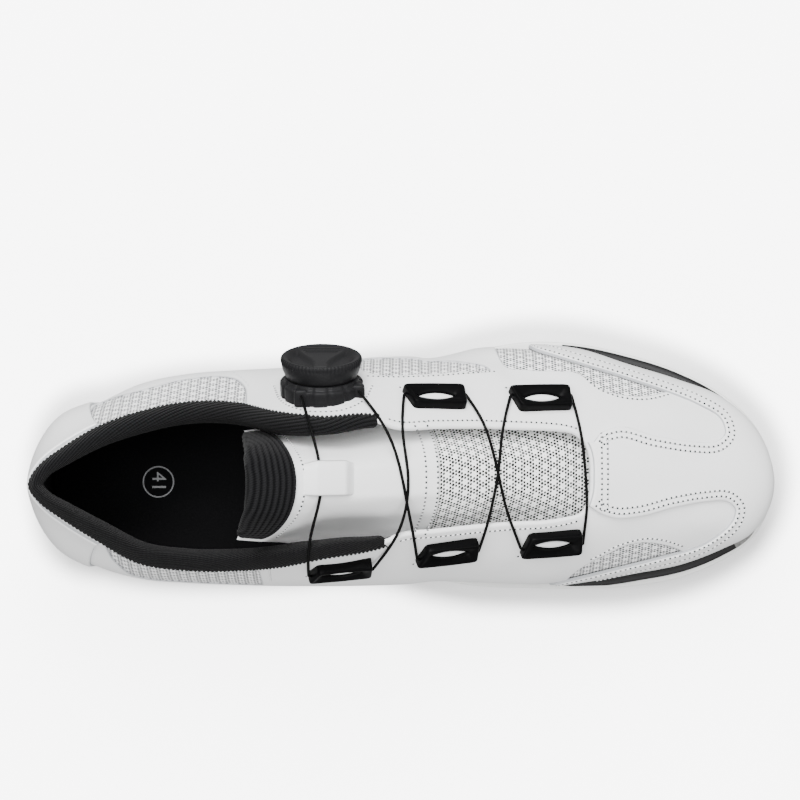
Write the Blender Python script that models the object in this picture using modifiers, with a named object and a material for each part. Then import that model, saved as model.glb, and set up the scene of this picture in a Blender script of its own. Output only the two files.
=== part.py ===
"""A left road cycling shoe, size 41, standing empty on its sole.

The heel points along -X, the toe along +X, the outer side of the foot along +Y. The origin is on
the floor under the middle of the heel tread. All sizes are in metres.

The upper is one hollow wall. It is lofted through ribs, each of which runs from the feather edge,
where the upper meets the sole, out to its widest point and up to the edge of the collar or of the
throat. The sole, insole, toe cap, quarters and heel counter are worked out from the same ribs.
"""

import math

import bmesh
import bpy
import numpy as np
from mathutils import Matrix, Vector
from mathutils.bvhtree import BVHTree

# Driving dimensions of the last
LENGTH = 0.278
BALL_WIDTH = 0.0945
INSTEP_HEIGHT = 0.088
HEEL_HEIGHT = 0.077
HEEL_STACK = 0.0165
HEEL_REST = 0.030

# Thicknesses of the upper and of what lies on it
WALL = 0.0022
GAP = 0.0003
COLLAR_PAD = 0.0052
TOE_CAP_THICKNESS = 0.0011
COUNTER_THICKNESS = 0.0010
RIM_ROUNDING = 0.45

# Sole, insole and tongue
LIP_CHAMFER = 0.0006
LIP_HEIGHT = 0.0032
SIDE_STEP = 0.0012
SIDE_DRAFT = 0.0006
EDGE_ROUNDING = 0.0016
INSOLE_THICKNESS = 0.0030
INSOLE_CLEARANCE = 0.0008
TREAD_THICKNESS = 0.0032
TREAD_INSET = 0.0030
TREAD_LENGTH = 0.052
TREAD_GROOVE_WIDTH = 0.0030
TREAD_GROOVE_DEPTH = 0.0016
CLEAT_HOLE_RADIUS = 0.0025
CLEAT_HOLE_DEPTH = 0.0050
CLEAT_BASE = 0.050
CLEAT_TRIANGLE_HEIGHT = 0.032
STRIPE_WIDTH = 0.0029
STRIPE_HEIGHT = 0.0022
STRIPE_UNDERCUT = 0.6
STRIPE_MARGIN = 0.0004
TONGUE_THICKNESS = 0.0042
TONGUE_CLEARANCE = 0.0011

# Lacing
CORD_RADIUS = 0.0005
CORD_CLEARANCE = 0.0010
CORD_SAMPLES = 13
CORD_SIDES = 6
CROSSING_WIDTH = 0.010
GUIDE_LENGTH = 0.0235
GUIDE_TAPER = 0.0030
GUIDE_WIDTH = 0.0100
GUIDE_HEIGHT = 0.0042
GUIDE_SINK = 0.0022
GUIDE_EDGE = 0.0008
GUIDE_EYE_LENGTH = 0.0140
GUIDE_EYE_WIDTH = 0.0034
KEEPER_LENGTH = 0.0220
KEEPER_WIDTH = 0.0113
KEEPER_THICKNESS = 0.0010
KEEPER_LIFT = 0.0026
DIAL_RADIUS = 0.0147
DIAL_HEIGHT = 0.0076
DIAL_FLUTES = 32
DIAL_FLUTE_DEPTH = 0.0004
DIAL_DISH = 0.0008
DIAL_BASE_RADIUS = 0.0150
DIAL_BASE_HEIGHT = 0.0040
DIAL_BASE_SINK = 0.0050
DIAL_TABS = ((-0.0098, -0.0112), (0.0128, -0.0068))
DIAL_TAB_SIZE = (0.0050, 0.0044, 0.0030)

SAMPLES_PER_RIB = 2

# One row for each rib, from the toe round the outer side to the heel and back along the inner side.
# x, top_x: share of LENGTH from the back of the heel. y, top_y, lip, out: share of BALL_WIDTH.
# bulge_z, top_z: share of INSTEP_HEIGHT or of HEEL_HEIGHT, as the last column says.
# lip: the sole's reach beyond the feather edge. out: the upper's. slope: degrees at the top edge.
# pad: share of COLLAR_PAD at the top edge.
RIB_COLUMNS = ("x", "y", "lip", "out", "bulge_z", "top_x", "top_y", "top_z", "slope", "pad")
RIBS = (
    ("toe", 0.981, -0.010, 0.057, 0.028, 0.380, 0.748, 0.037, 0.659, 16, 0.0, "instep"),
    ("toe outer", 0.975, 0.102, 0.057, 0.026, 0.375, 0.748, 0.066, 0.658, 16, 0.0, "instep"),
    ("toe corner outer", 0.960, 0.192, 0.055, 0.025, 0.360, 0.747, 0.100, 0.657, 17, 0.0, "instep"),
    ("toe side outer", 0.921, 0.304, 0.054, 0.021, 0.330, 0.742, 0.150, 0.654, 18, 0.0, "instep"),
    ("vamp outer", 0.865, 0.379, 0.067, 0.014, 0.290, 0.731, 0.190, 0.654, 24, 0.0, "instep"),
    ("joint outer", 0.800, 0.440, 0.069, 0.013, 0.255, 0.712, 0.212, 0.670, 30, 0.0, "instep"),
    ("ball outer", 0.734, 0.499, 0.051, 0.015, 0.245, 0.683, 0.221, 0.690, 34, 0.0, "instep"),
    ("ball back outer", 0.669, 0.510, 0.046, 0.023, 0.255, 0.640, 0.226, 0.720, 36, 0.0, "instep"),
    ("waist front outer", 0.604, 0.489, 0.036, 0.045, 0.285, 0.594, 0.231, 0.766, 38, 0.0, "instep"),
    ("waist outer", 0.540, 0.444, 0.030, 0.056, 0.307, 0.540, 0.231, 0.835, 42, 0.0, "instep"),
    ("eyestay outer", 0.489, 0.427, 0.024, 0.069, 0.330, 0.489, 0.232, 0.900, 48, 0.0, "instep"),
    ("pad front outer", 0.471, 0.421, 0.024, 0.073, 0.335, 0.471, 0.250, 0.915, 52, 0.85, "instep"),
    ("instep outer", 0.392, 0.390, 0.022, 0.082, 0.352, 0.392, 0.250, 0.980, 64, 1.0, "instep"),
    ("collar front outer", 0.342, 0.371, 0.022, 0.081, 0.364, 0.339, 0.268, 0.930, 70, 1.0, "instep"),
    ("ankle outer", 0.281, 0.361, 0.022, 0.081, 0.416, 0.281, 0.307, 0.860, 78, 1.0, "heel"),
    ("ankle back outer", 0.216, 0.352, 0.022, 0.076, 0.416, 0.216, 0.308, 0.800, 78, 1.0, "heel"),
    ("quarter outer", 0.155, 0.324, 0.024, 0.067, 0.416, 0.155, 0.272, 0.845, 80, 1.0, "heel"),
    ("counter front outer", 0.101, 0.270, 0.036, 0.050, 0.416, 0.104, 0.217, 0.905, 82, 0.9, "heel"),
    ("counter outer", 0.050, 0.212, 0.048, 0.044, 0.416, 0.059, 0.138, 0.955, 85, 0.7, "heel"),
    ("heel outer", 0.029, 0.111, 0.034, 0.048, 0.416, 0.031, 0.074, 0.985, 88, 0.5, "heel"),
    ("heel", 0.022, 0.000, 0.026, 0.050, 0.416, 0.018, 0.003, 1.000, 88, 0.5, "heel"),
    ("heel inner", 0.029, -0.111, 0.034, 0.048, 0.416, 0.031, -0.060, 0.990, 88, 0.5, "heel"),
    ("counter inner", 0.050, -0.217, 0.056, 0.044, 0.416, 0.059, -0.122, 0.970, 85, 0.7, "heel"),
    ("counter front inner", 0.101, -0.286, 0.032, 0.053, 0.416, 0.104, -0.207, 0.930, 82, 0.9, "heel"),
    ("quarter inner", 0.155, -0.321, 0.024, 0.061, 0.416, 0.155, -0.292, 0.880, 80, 1.0, "heel"),
    ("ankle back inner", 0.216, -0.330, 0.022, 0.066, 0.430, 0.216, -0.322, 0.840, 80, 1.0, "heel"),
    ("ankle inner", 0.281, -0.333, 0.016, 0.070, 0.442, 0.281, -0.321, 0.900, 80, 1.0, "heel"),
    ("collar front inner", 0.342, -0.328, 0.012, 0.077, 0.410, 0.342, -0.298, 0.930, 76, 1.0, "instep"),
    ("instep inner", 0.392, -0.312, 0.014, 0.093, 0.420, 0.392, -0.265, 1.000, 72, 1.0, "instep"),
    ("pad front inner", 0.480, -0.316, 0.024, 0.086, 0.410, 0.480, -0.216, 0.910, 60, 0.85, "instep"),
    ("eyestay inner", 0.498, -0.322, 0.030, 0.079, 0.400, 0.498, -0.196, 0.895, 54, 0.0, "instep"),
    ("waist inner", 0.540, -0.343, 0.046, 0.052, 0.386, 0.540, -0.184, 0.845, 50, 0.0, "instep"),
    ("waist front inner", 0.604, -0.371, 0.052, 0.032, 0.340, 0.597, -0.168, 0.770, 44, 0.0, "instep"),
    ("ball back inner", 0.673, -0.380, 0.051, 0.027, 0.295, 0.640, -0.159, 0.722, 40, 0.0, "instep"),
    ("ball inner", 0.741, -0.369, 0.064, 0.017, 0.255, 0.683, -0.154, 0.690, 36, 0.0, "instep"),
    ("joint inner", 0.810, -0.337, 0.086, 0.014, 0.255, 0.716, -0.138, 0.668, 30, 0.0, "instep"),
    ("vamp inner", 0.875, -0.296, 0.088, 0.014, 0.290, 0.736, -0.116, 0.654, 24, 0.0, "instep"),
    ("toe side inner", 0.924, -0.236, 0.082, 0.015, 0.330, 0.743, -0.074, 0.655, 18, 0.0, "instep"),
    ("toe corner inner", 0.958, -0.174, 0.066, 0.021, 0.360, 0.747, -0.030, 0.657, 17, 0.0, "instep"),
    ("toe inner", 0.976, -0.089, 0.057, 0.025, 0.375, 0.748, 0.005, 0.658, 16, 0.0, "instep"),
)

# Heights of the sole above the floor, as shares of HEEL_STACK, at shares of LENGTH
SOLE_COLUMNS = ("x", "top", "bottom")
SOLE_PROFILE = (
    (0.00, 1.00, 0.26),
    (0.035, 1.00, 0.20),
    (0.20, 1.04, 0.20),
    (0.24, 1.09, 0.30),
    (0.33, 1.22, 0.55),
    (0.43, 1.21, 0.54),
    (0.53, 0.98, 0.28),
    (0.60, 0.80, 0.00),
    (0.66, 0.70, 0.00),
    (0.76, 0.66, 0.00),
    (0.83, 0.76, 0.10),
    (0.90, 0.98, 0.38),
    (1.00, 1.36, 0.88),
)

# The tongue from under the vamp to its free end. x: share of LENGTH. crown_y, outer, inner: share
# of BALL_WIDTH. crown_z, drop: share of INSTEP_HEIGHT. drop: how far its sides hang below the crown.
TONGUE_COLUMNS = ("x", "crown_y", "crown_z", "outer", "inner", "drop")
TONGUE = (
    (0.800, 0.030, 0.590, 0.150, 0.120, 0.040),
    (0.748, 0.030, 0.626, 0.200, 0.160, 0.075),
    (0.710, 0.030, 0.668, 0.235, 0.205, 0.110),
    (0.648, 0.030, 0.738, 0.245, 0.225, 0.140),
    (0.594, 0.028, 0.810, 0.250, 0.230, 0.165),
    (0.540, 0.026, 0.884, 0.250, 0.230, 0.190),
    (0.486, 0.022, 0.960, 0.240, 0.225, 0.220),
    (0.432, 0.018, 1.032, 0.225, 0.215, 0.240),
    (0.385, 0.018, 1.094, 0.220, 0.205, 0.230),
    (0.350, 0.018, 1.145, 0.215, 0.190, 0.190),
    (0.320, 0.018, 1.195, 0.205, 0.180, 0.160),
)
TONGUE_SIDE_SAMPLES = 8
TONGUE_ROUNDING = 2.6
BELOW_VAMP = 0.030
ABOVE = 0.300
SEAT_DEPTH = 0.0100

# Plan outlines of the two windows in the toe cap, through which the front lobes of the quarters
# show: x as a share of LENGTH, y as a share of BALL_WIDTH
WINDOW_OUTER = (
    (0.748, 0.161), (0.764, 0.205), (0.780, 0.217), (0.833, 0.183), (0.887, 0.160), (0.909, 0.158),
    (0.923, 0.180), (0.925, 0.222), (0.919, 0.256), (0.890, 0.306), (0.812, 0.393), (0.706, 0.491),
    (0.674, 0.523), (0.658, 0.560),
)
WINDOW_INNER = (
    (0.742, -0.085), (0.762, -0.118), (0.782, -0.131), (0.806, -0.126), (0.860, -0.088),
    (0.901, -0.070), (0.923, -0.067), (0.937, -0.091), (0.938, -0.130), (0.917, -0.203),
    (0.890, -0.250), (0.840, -0.293), (0.760, -0.354), (0.680, -0.415), (0.650, -0.440),
)
WINDOW_SAMPLES = 30

# Side outlines: x as a share of LENGTH, z as a share of HEEL_HEIGHT
COUNTER_TOP_BACK = 0.960
COUNTER_FRONT = ((0.104, 0.85), (0.096, 0.76), (0.088, 0.64), (0.084, 0.50), (0.088, 0.36),
                 (0.108, 0.26), (0.140, 0.10))

# Lace guides: name, side of the throat, x, y of the middle in plan (shares of LENGTH and
# BALL_WIDTH) and yaw in degrees
GUIDES = (
    ("guide_outer_back", 1, 0.540, 0.328, 6.0),
    ("guide_outer_front", 1, 0.679, 0.324, 6.0),
    ("guide_inner_back", -1, 0.418, -0.313, -6.0),
    ("guide_inner_middle", -1, 0.556, -0.251, -3.0),
    ("guide_inner_front", -1, 0.693, -0.224, -1.0),
)
DIAL_PLACE = (0.393, 0.374)
DIAL_TILT = 71.0
KEEPER_PLACE = (0.399, 0.030)

# The cord's visible runs in plan, shares of LENGTH and BALL_WIDTH. Runs with the same number are
# joined where they cross.
LACE_RUNS = (
    (1, ((0.385, 0.219), (0.397, 0.113), (0.401, -0.006), (0.386, -0.124), (0.380, -0.190))),
    (2, ((0.476, 0.230), (0.495, 0.082), (0.504, -0.075), (0.510, -0.172))),
    (2, ((0.488, -0.212), (0.495, -0.182), (0.504, -0.075), (0.508, 0.026), (0.498, 0.174), (0.496, 0.240))),
    (3, ((0.605, 0.240), (0.616, 0.117), (0.623, 0.042), (0.636, -0.130), (0.642, -0.175))),
    (3, ((0.608, -0.168), (0.616, -0.052), (0.623, 0.042), (0.625, 0.136), (0.628, 0.225))),
    (4, ((0.731, 0.215), (0.738, 0.020), (0.739, -0.134), (0.736, -0.165))),
)
CROSSINGS = {2: (0.504, -0.075), 3: (0.623, 0.042)}


def along(share):
    """Distance from the origin to a station at this share of the length from the back of the heel."""
    return share * LENGTH - HEEL_REST


def across(share):
    return share * BALL_WIDTH


def flow(knots, values, at):
    """Values between knots, on cubic curves that never swing past a knot."""
    knots = np.asarray(knots, float)
    values = np.asarray(values, float)
    at = np.clip(np.asarray(at, float), knots[0], knots[-1])
    step = np.diff(knots)
    rise = np.diff(values) / step
    slope = np.zeros(len(knots))
    same_way = rise[:-1] * rise[1:] > 0
    weight_a = 2 * step[1:] + step[:-1]
    weight_b = step[1:] + 2 * step[:-1]
    safe_a = np.where(same_way, rise[:-1], 1.0)
    safe_b = np.where(same_way, rise[1:], 1.0)
    mean = (weight_a + weight_b) / (weight_a / safe_a + weight_b / safe_b)
    slope[1:-1] = np.where(same_way, mean, 0.0)
    slope[0], slope[-1] = rise[0], rise[-1]
    span = np.clip(np.searchsorted(knots, at, side="right") - 1, 0, len(step) - 1)
    t = (at - knots[span]) / step[span]
    return (
        values[span] * (1 + 2 * t) * (1 - t) ** 2
        + slope[span] * step[span] * t * (1 - t) ** 2
        + values[span + 1] * t * t * (3 - 2 * t)
        + slope[span + 1] * step[span] * t * t * (t - 1)
    )


def round_trip(rows, distances, per_row):
    """A closed smooth curve through rows of values, sampled per_row times between each two."""
    count = len(rows)
    following = np.roll(rows, -1, axis=0)
    before = np.roll(rows, 1, axis=0)
    gap = distances[:, None]
    gap_before = np.roll(distances, 1)[:, None]
    slope = ((following - rows) / gap * gap_before + (rows - before) / gap_before * gap) / (gap + gap_before)
    t = (np.arange(per_row) / per_row)[None, :, None]
    start, end = rows[:, None, :], following[:, None, :]
    leave, arrive = (slope * gap)[:, None, :], (np.roll(slope, -1, axis=0) * gap)[:, None, :]
    curve = (
        start * (1 + 2 * t) * (1 - t) ** 2
        + leave * t * (1 - t) ** 2
        + end * t * t * (3 - 2 * t)
        + arrive * t * t * (t - 1)
    )
    return curve.reshape(count * per_row, -1)


def smooth_line(points, samples):
    """An open smooth curve through points, sampled evenly along their chords."""
    points = np.asarray(points, float)
    chords = np.linalg.norm(np.diff(points, axis=0), axis=1)
    distance = np.concatenate([[0.0], np.cumsum(chords)])
    at = np.linspace(0.0, distance[-1], samples)
    slope = np.gradient(points, distance, axis=0)
    span = np.clip(np.searchsorted(distance, at, side="right") - 1, 0, len(chords) - 1)
    t = ((at - distance[span]) / chords[span])[:, None]
    length = chords[span][:, None]
    return (
        points[span] * (1 + 2 * t) * (1 - t) ** 2
        + slope[span] * length * t * (1 - t) ** 2
        + points[span + 1] * t * t * (3 - 2 * t)
        + slope[span + 1] * length * t * t * (t - 1)
    )


def sole_height(x, column):
    """Height of the sole's top or bottom face above the floor at distance x from the origin."""
    table = dict(zip(SOLE_COLUMNS, zip(*SOLE_PROFILE)))
    share = (np.asarray(x, float) + HEEL_REST) / LENGTH
    return flow(table["x"], table[column], share) * HEEL_STACK


def read_ribs():
    """The rib table in metres: feather, bulge and top points, the way out, lip, slope and pad."""
    table = {name: np.array([row[i + 1] for row in RIBS], float) for i, name in enumerate(RIB_COLUMNS)}
    height = np.array([INSTEP_HEIGHT if row[-1] == "instep" else HEEL_HEIGHT for row in RIBS])
    columns = np.stack(
        [
            along(table["x"]),
            across(table["y"]),
            across(table["lip"]),
            across(table["out"]),
            table["bulge_z"] * height,
            along(table["top_x"]),
            across(table["top_y"]),
            table["top_z"] * height,
            np.radians(table["slope"]),
            table["pad"] * COLLAR_PAD,
        ],
        axis=1,
    )
    plan = columns[:, :2]
    distances = np.linalg.norm(np.roll(plan, -1, axis=0) - plan, axis=1)
    fine = round_trip(columns, distances, SAMPLES_PER_RIB)
    x, y, lip, out, bulge_z, top_x, top_y, top_z, slope, pad = fine.T
    forward = np.stack([np.roll(x, -1) - np.roll(x, 1), np.roll(y, -1) - np.roll(y, 1)], axis=1)
    forward /= np.linalg.norm(forward, axis=1)[:, None]
    way_out = np.stack([forward[:, 1], -forward[:, 0], np.zeros(len(x))], axis=1)
    feather = np.stack([x, y, sole_height(x, "top") + GAP], axis=1)
    bulge = feather + way_out * out[:, None]
    bulge[:, 2] = bulge_z
    top = np.stack([top_x, top_y, top_z], axis=1)
    return {
        "feather": feather,
        "bulge": bulge,
        "top": top,
        "way_out": way_out,
        "lip": lip,
        "out": out,
        "slope": slope,
        "pad": np.clip(pad, 0.0, None),
    }


def bezier(points, t):
    """A Bezier curve for each rib at once: points is a list of control points, one array each."""
    degree = len(points) - 1
    total = 0.0
    for i, point in enumerate(points):
        weight = math.comb(degree, i) * t**i * (1 - t) ** (degree - i)
        total = total + weight[None, :, None] * point[:, None, :]
    return total


LOWER_STEPS = np.array([0.0, 0.5])
UPPER_STEPS = np.array([0.0, 0.12, 0.25, 0.38, 0.52, 0.66, 0.80, 0.91, 1.0])
BULGE_PULL = 0.6
SIDE_PULL = 0.45
TOP_PULL = 0.38


def outer_surface(ribs):
    """Points of the upper's outer face, ribs by steps, and how far up each step is."""
    feather, bulge, top = ribs["feather"], ribs["bulge"], ribs["top"]
    up = np.array([0.0, 0.0, 1.0])
    rise = (bulge[:, 2] - feather[:, 2])[:, None]
    lower = bezier([feather, bulge - up * rise * BULGE_PULL, bulge], LOWER_STEPS)
    inward = top - bulge
    reach = np.linalg.norm(inward, axis=1)[:, None]
    flat = inward.copy()
    flat[:, 2] = 0.0
    flat /= np.linalg.norm(flat, axis=1)[:, None]
    slope = ribs["slope"][:, None]
    arrive = flat * np.cos(slope) + up * np.sin(slope)
    side = bulge + up * SIDE_PULL * inward[:, 2:3]
    upper = bezier([bulge, side, top - arrive * reach * TOP_PULL, top], UPPER_STEPS)
    share = np.concatenate([LOWER_STEPS * 0.0, UPPER_STEPS])
    return np.concatenate([lower, upper], axis=1), share


def outward(surface, ribs):
    """Unit normals of the outer face. At the feather edge they lie level."""
    around = np.roll(surface, -1, axis=0) - np.roll(surface, 1, axis=0)
    upward = np.gradient(surface, axis=1)
    normal = np.cross(around, upward)
    normal[:, 0] = ribs["way_out"]
    return normal / np.linalg.norm(normal, axis=2)[:, :, None]


def make_object(name, points, faces, collection):
    """A mesh object with its faces turned outwards."""
    mesh = bpy.data.meshes.new(name)
    mesh.from_pydata([tuple(p) for p in points], [], [tuple(f) for f in faces])
    shell = bmesh.new()
    shell.from_mesh(mesh)
    bmesh.ops.remove_doubles(shell, verts=shell.verts, dist=1e-6)
    bmesh.ops.recalc_face_normals(shell, faces=shell.faces)
    shell.to_mesh(mesh)
    shell.free()
    made = bpy.data.objects.new(name, mesh)
    collection.objects.link(made)
    return made


def loft_ring(name, loops, collection):
    """A closed tube of wall: each loop runs round the shoe, and the last one meets the first."""
    loops = np.asarray(loops)
    loop_count, count = loops.shape[:2]
    index = np.arange(loop_count * count).reshape(loop_count, count)
    following = np.roll(index, -1, axis=0)
    faces = np.stack([index, np.roll(index, -1, axis=1), np.roll(following, -1, axis=1), following], axis=2)
    return make_object(name, loops.reshape(-1, 3), faces.reshape(-1, 4).tolist(), collection)


def loft_slab(name, loops, collection):
    """A solid between its first and last loop. Rungs from the outer to the inner side close both."""
    loops = np.asarray(loops)
    loop_count, count = loops.shape[:2]
    index = np.arange(loop_count * count).reshape(loop_count, count)
    low, high = index[:-1], index[1:]
    sides = np.stack([low, np.roll(low, -1, axis=1), np.roll(high, -1, axis=1), high], axis=2)
    faces = sides.reshape(-1, 4).tolist()
    half = count // 2
    for loop in (index[0], index[-1]):
        for k in range(half):
            rung = [loop[k], loop[k + 1], loop[(count - k - 1) % count], loop[(count - k) % count]]
            faces.append(list(dict.fromkeys(rung)))
    return make_object(name, loops.reshape(-1, 3), faces, collection)


def prism(name, outline, axis, low, high, collection):
    """A cutter: an outline in plan (axis z) or seen from the side (axis y), drawn out from low to high."""
    count = len(outline)
    ends = []
    for level in (low, high):
        for a, b in outline:
            ends.append((a, b, level) if axis == "z" else (a, level, b))
    faces = [[i, (i + 1) % count, (i + 1) % count + count, i + count] for i in range(count)]
    faces += [list(range(count)), list(range(count, 2 * count))]
    made = make_object(name, ends, faces, collection)
    made.hide_render = True
    made.display_type = "WIRE"
    return made


def boolean(target, tool, operation):
    """Cuts, keeps or joins at once, so that later steps read the finished mesh."""
    modifier = target.modifiers.new(operation.lower(), "BOOLEAN")
    modifier.operation = operation
    modifier.object = tool
    graph = bpy.context.evaluated_depsgraph_get()
    finished = bpy.data.meshes.new_from_object(target.evaluated_get(graph))
    target.modifiers.clear()
    target.data = finished


def discard(*objects):
    for item in objects:
        bpy.data.objects.remove(item)


def seated(surface, normal, low, high, collection, name):
    """The wall between two offsets of the upper's outer face, as a closed ring."""
    inside = surface + normal * low
    outside = surface + normal * high
    loops = np.concatenate([outside, inside[:, ::-1]], axis=1).transpose(1, 0, 2)
    return loft_ring(name, loops, collection)


def make_upper(ribs, surface, normal, share, collection):
    """The upper: outer face, rounded top edge and inner face, with padding along the collar."""
    grown = np.clip((share - 0.30) / 0.60, 0.0, 1.0)
    grown = grown * grown * (3 - 2 * grown)
    depth = WALL + ribs["pad"][:, None] * grown[None, :]
    inner = surface - normal * depth[:, :, None]
    edge_out, edge_in = surface[:, -1], inner[:, -1]
    middle = (edge_out + edge_in) / 2
    upward = surface[:, -1] - surface[:, -2]
    upward /= np.linalg.norm(upward, axis=1)[:, None]
    crest = middle + upward * depth[:, -1:] * RIM_ROUNDING
    shoulder = RIM_ROUNDING * 0.75
    outer_edge = edge_out * 0.86 + edge_in * 0.14 + upward * depth[:, -1:] * shoulder
    inner_edge = edge_out * 0.14 + edge_in * 0.86 + upward * depth[:, -1:] * shoulder
    inner_steps = [10, 8, 6, 5, 4, 2, 0]
    loops = [surface[:, j] for j in range(surface.shape[1])]
    loops += [outer_edge, crest, inner_edge]
    loops += [inner[:, j] for j in inner_steps]
    return loft_ring("upper", loops, collection), inner


def sole_loops(ribs, levels):
    """Loops round the sole, each at an offset from the feather edge and a height."""
    feather, way_out = ribs["feather"], ribs["way_out"]
    loops = []
    for offset, height in levels:
        loop = feather + way_out * np.asarray(offset)[:, None]
        loop[:, 2] = height
        loops.append(loop)
    return loops


def make_sole(ribs, collection):
    """The sole plate: top face, lip, stepped side and bottom, with holes for a cleat's three bolts."""
    x = ribs["feather"][:, 0]
    top, bottom = sole_height(x, "top"), sole_height(x, "bottom")
    lip = ribs["lip"]
    levels = [
        (np.full(len(lip), -WALL * 1.5), top),
        (lip - LIP_CHAMFER, top),
        (lip, top - LIP_CHAMFER),
        (lip, top - LIP_HEIGHT),
        (lip - SIDE_STEP, top - LIP_HEIGHT - SIDE_STEP / 2),
        (lip - SIDE_STEP - SIDE_DRAFT, bottom + EDGE_ROUNDING),
        (lip - SIDE_STEP - SIDE_DRAFT - EDGE_ROUNDING, bottom),
    ]
    sole = loft_slab("outsole", sole_loops(ribs, levels), collection)
    middle_y = across(0.065)
    front = along(0.735)
    back = front - CLEAT_TRIANGLE_HEIGHT
    places = ((front, middle_y), (back, middle_y + CLEAT_BASE / 2), (back, middle_y - CLEAT_BASE / 2))
    for number, (hole_x, hole_y) in enumerate(places):
        bpy.ops.mesh.primitive_cylinder_add(
            vertices=16, radius=CLEAT_HOLE_RADIUS, depth=2 * CLEAT_HOLE_DEPTH, location=(hole_x, hole_y, 0.0)
        )
        hole = bpy.context.object
        hole.name = f"cleat_hole_{number}"
        boolean(sole, hole, "DIFFERENCE")
        discard(hole)
    return sole


def make_heel_tread(ribs, collection):
    """The rubber heel pad under the plate, with two grooves across it."""
    lip = ribs["lip"]
    plan = ribs["feather"] + ribs["way_out"] * (lip - SIDE_STEP - SIDE_DRAFT - TREAD_INSET)[:, None]
    front = along(0.0) + TREAD_LENGTH
    kept = [(p[0], p[1]) for p in plan if p[0] < front - 0.004]
    side_y = [y for _, y in kept]
    outline = [(front, max(side_y) - 0.003)] + [p for p in kept] + [(front, min(side_y) + 0.003)]
    seat = sole_height(0.0, "bottom") - GAP
    tread = prism("heel_tread", outline, "z", 0.0, float(seat), collection)
    show(tread)
    for groove_x in (front - TREAD_LENGTH * 0.36, front - TREAD_LENGTH * 0.66):
        bpy.ops.mesh.primitive_cube_add(
            size=1.0, location=(groove_x, 0.0, 0.0),
            scale=(TREAD_GROOVE_WIDTH, BALL_WIDTH, 2 * TREAD_GROOVE_DEPTH),
        )
        groove = bpy.context.object
        bpy.ops.object.transform_apply(location=True, rotation=True, scale=True)
        boolean(tread, groove, "DIFFERENCE")
        discard(groove)
    return tread


def make_insole(ribs, collection):
    """The insole, lying on the plate inside the upper."""
    count = len(ribs["lip"])
    inset = np.full(count, -(WALL + INSOLE_CLEARANCE))
    base = ribs["feather"][:, 2]
    levels = [
        (inset - 0.0008, base),
        (inset, base + 0.0008),
        (inset, base + INSOLE_THICKNESS - 0.0008),
        (inset - 0.0012, base + INSOLE_THICKNESS),
    ]
    return loft_slab("insole", sole_loops(ribs, levels), collection)


def make_stripe(name, ribs, first, last, collection):
    """A black strip in the angle between the toe cap and the sole's lip, from one rib to another."""
    span = np.arange(first * SAMPLES_PER_RIB, last * SAMPLES_PER_RIB + 1) % len(ribs["lip"])
    feather, way_out = ribs["feather"][span], ribs["way_out"][span]
    out = ribs["out"][span]
    start = out * STRIPE_UNDERCUT + TOE_CAP_THICKNESS + 2 * GAP
    ends = np.abs(np.linspace(-1.0, 1.0, len(span))) ** 4
    room = ribs["lip"][span] - LIP_CHAMFER - STRIPE_MARGIN - start
    width = np.minimum(out * (1 - STRIPE_UNDERCUT) + STRIPE_WIDTH * (1.0 - 0.8 * ends), room)
    height = STRIPE_HEIGHT * (1.0 - 0.6 * ends)
    corners = [(0.0, 0.0), (1.0, 0.0), (0.9, 0.55), (0.35, 1.0), (0.0, 1.0)]
    ring = []
    for a, b in corners:
        point = feather + way_out * (start + width * a)[:, None]
        point[:, 2] += height * b
        ring.append(point)
    ring = np.stack(ring, axis=1)
    count, sides = ring.shape[:2]
    index = np.arange(count * sides).reshape(count, sides)
    faces = np.stack(
        [index[:-1], np.roll(index[:-1], -1, axis=1), np.roll(index[1:], -1, axis=1), index[1:]], axis=2
    ).reshape(-1, 4).tolist()
    faces += [index[0].tolist(), index[-1].tolist()]
    return make_object(name, ring.reshape(-1, 3), faces, collection)


def window_line(points):
    """A window's plan outline in metres."""
    line = smooth_line(points, WINDOW_SAMPLES)
    return np.stack([along(line[:, 0]), across(line[:, 1])], axis=1)


def make_toe_cap(shell, cutters):
    """The toe cap, cut from a shell over the upper. Its outline leaves both windows open."""
    outer, inner = window_line(WINDOW_OUTER), window_line(WINDOW_INNER)
    far = along(1.2)
    side = across(0.8)
    back = along(0.72)
    outline = [(outer[-1][0], side), (far, side), (far, -side), (inner[-1][0], -side)]
    outline += [tuple(p) for p in inner[::-1]]
    outline += [(back, inner[0][1]), (back, outer[0][1])]
    outline += [tuple(p) for p in outer]
    cutter = prism("toe_cap_outline", outline, "z", -0.05, 0.15, cutters)
    boolean(shell, cutter, "INTERSECT")
    return shell


def make_counter(shell, cutters):
    """The heel counter, cut from a shell over the upper behind its curved front edge."""
    line = smooth_line(COUNTER_FRONT, 14)
    front = [(along(x), z * HEEL_HEIGHT) for x, z in line]
    far = along(-0.2)
    outline = front + [(far, front[-1][1]), (far, COUNTER_TOP_BACK * HEEL_HEIGHT)]
    cutter = prism("counter_outline", outline, "y", -0.1, 0.1, cutters)
    boolean(shell, cutter, "INTERSECT")
    return shell


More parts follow.
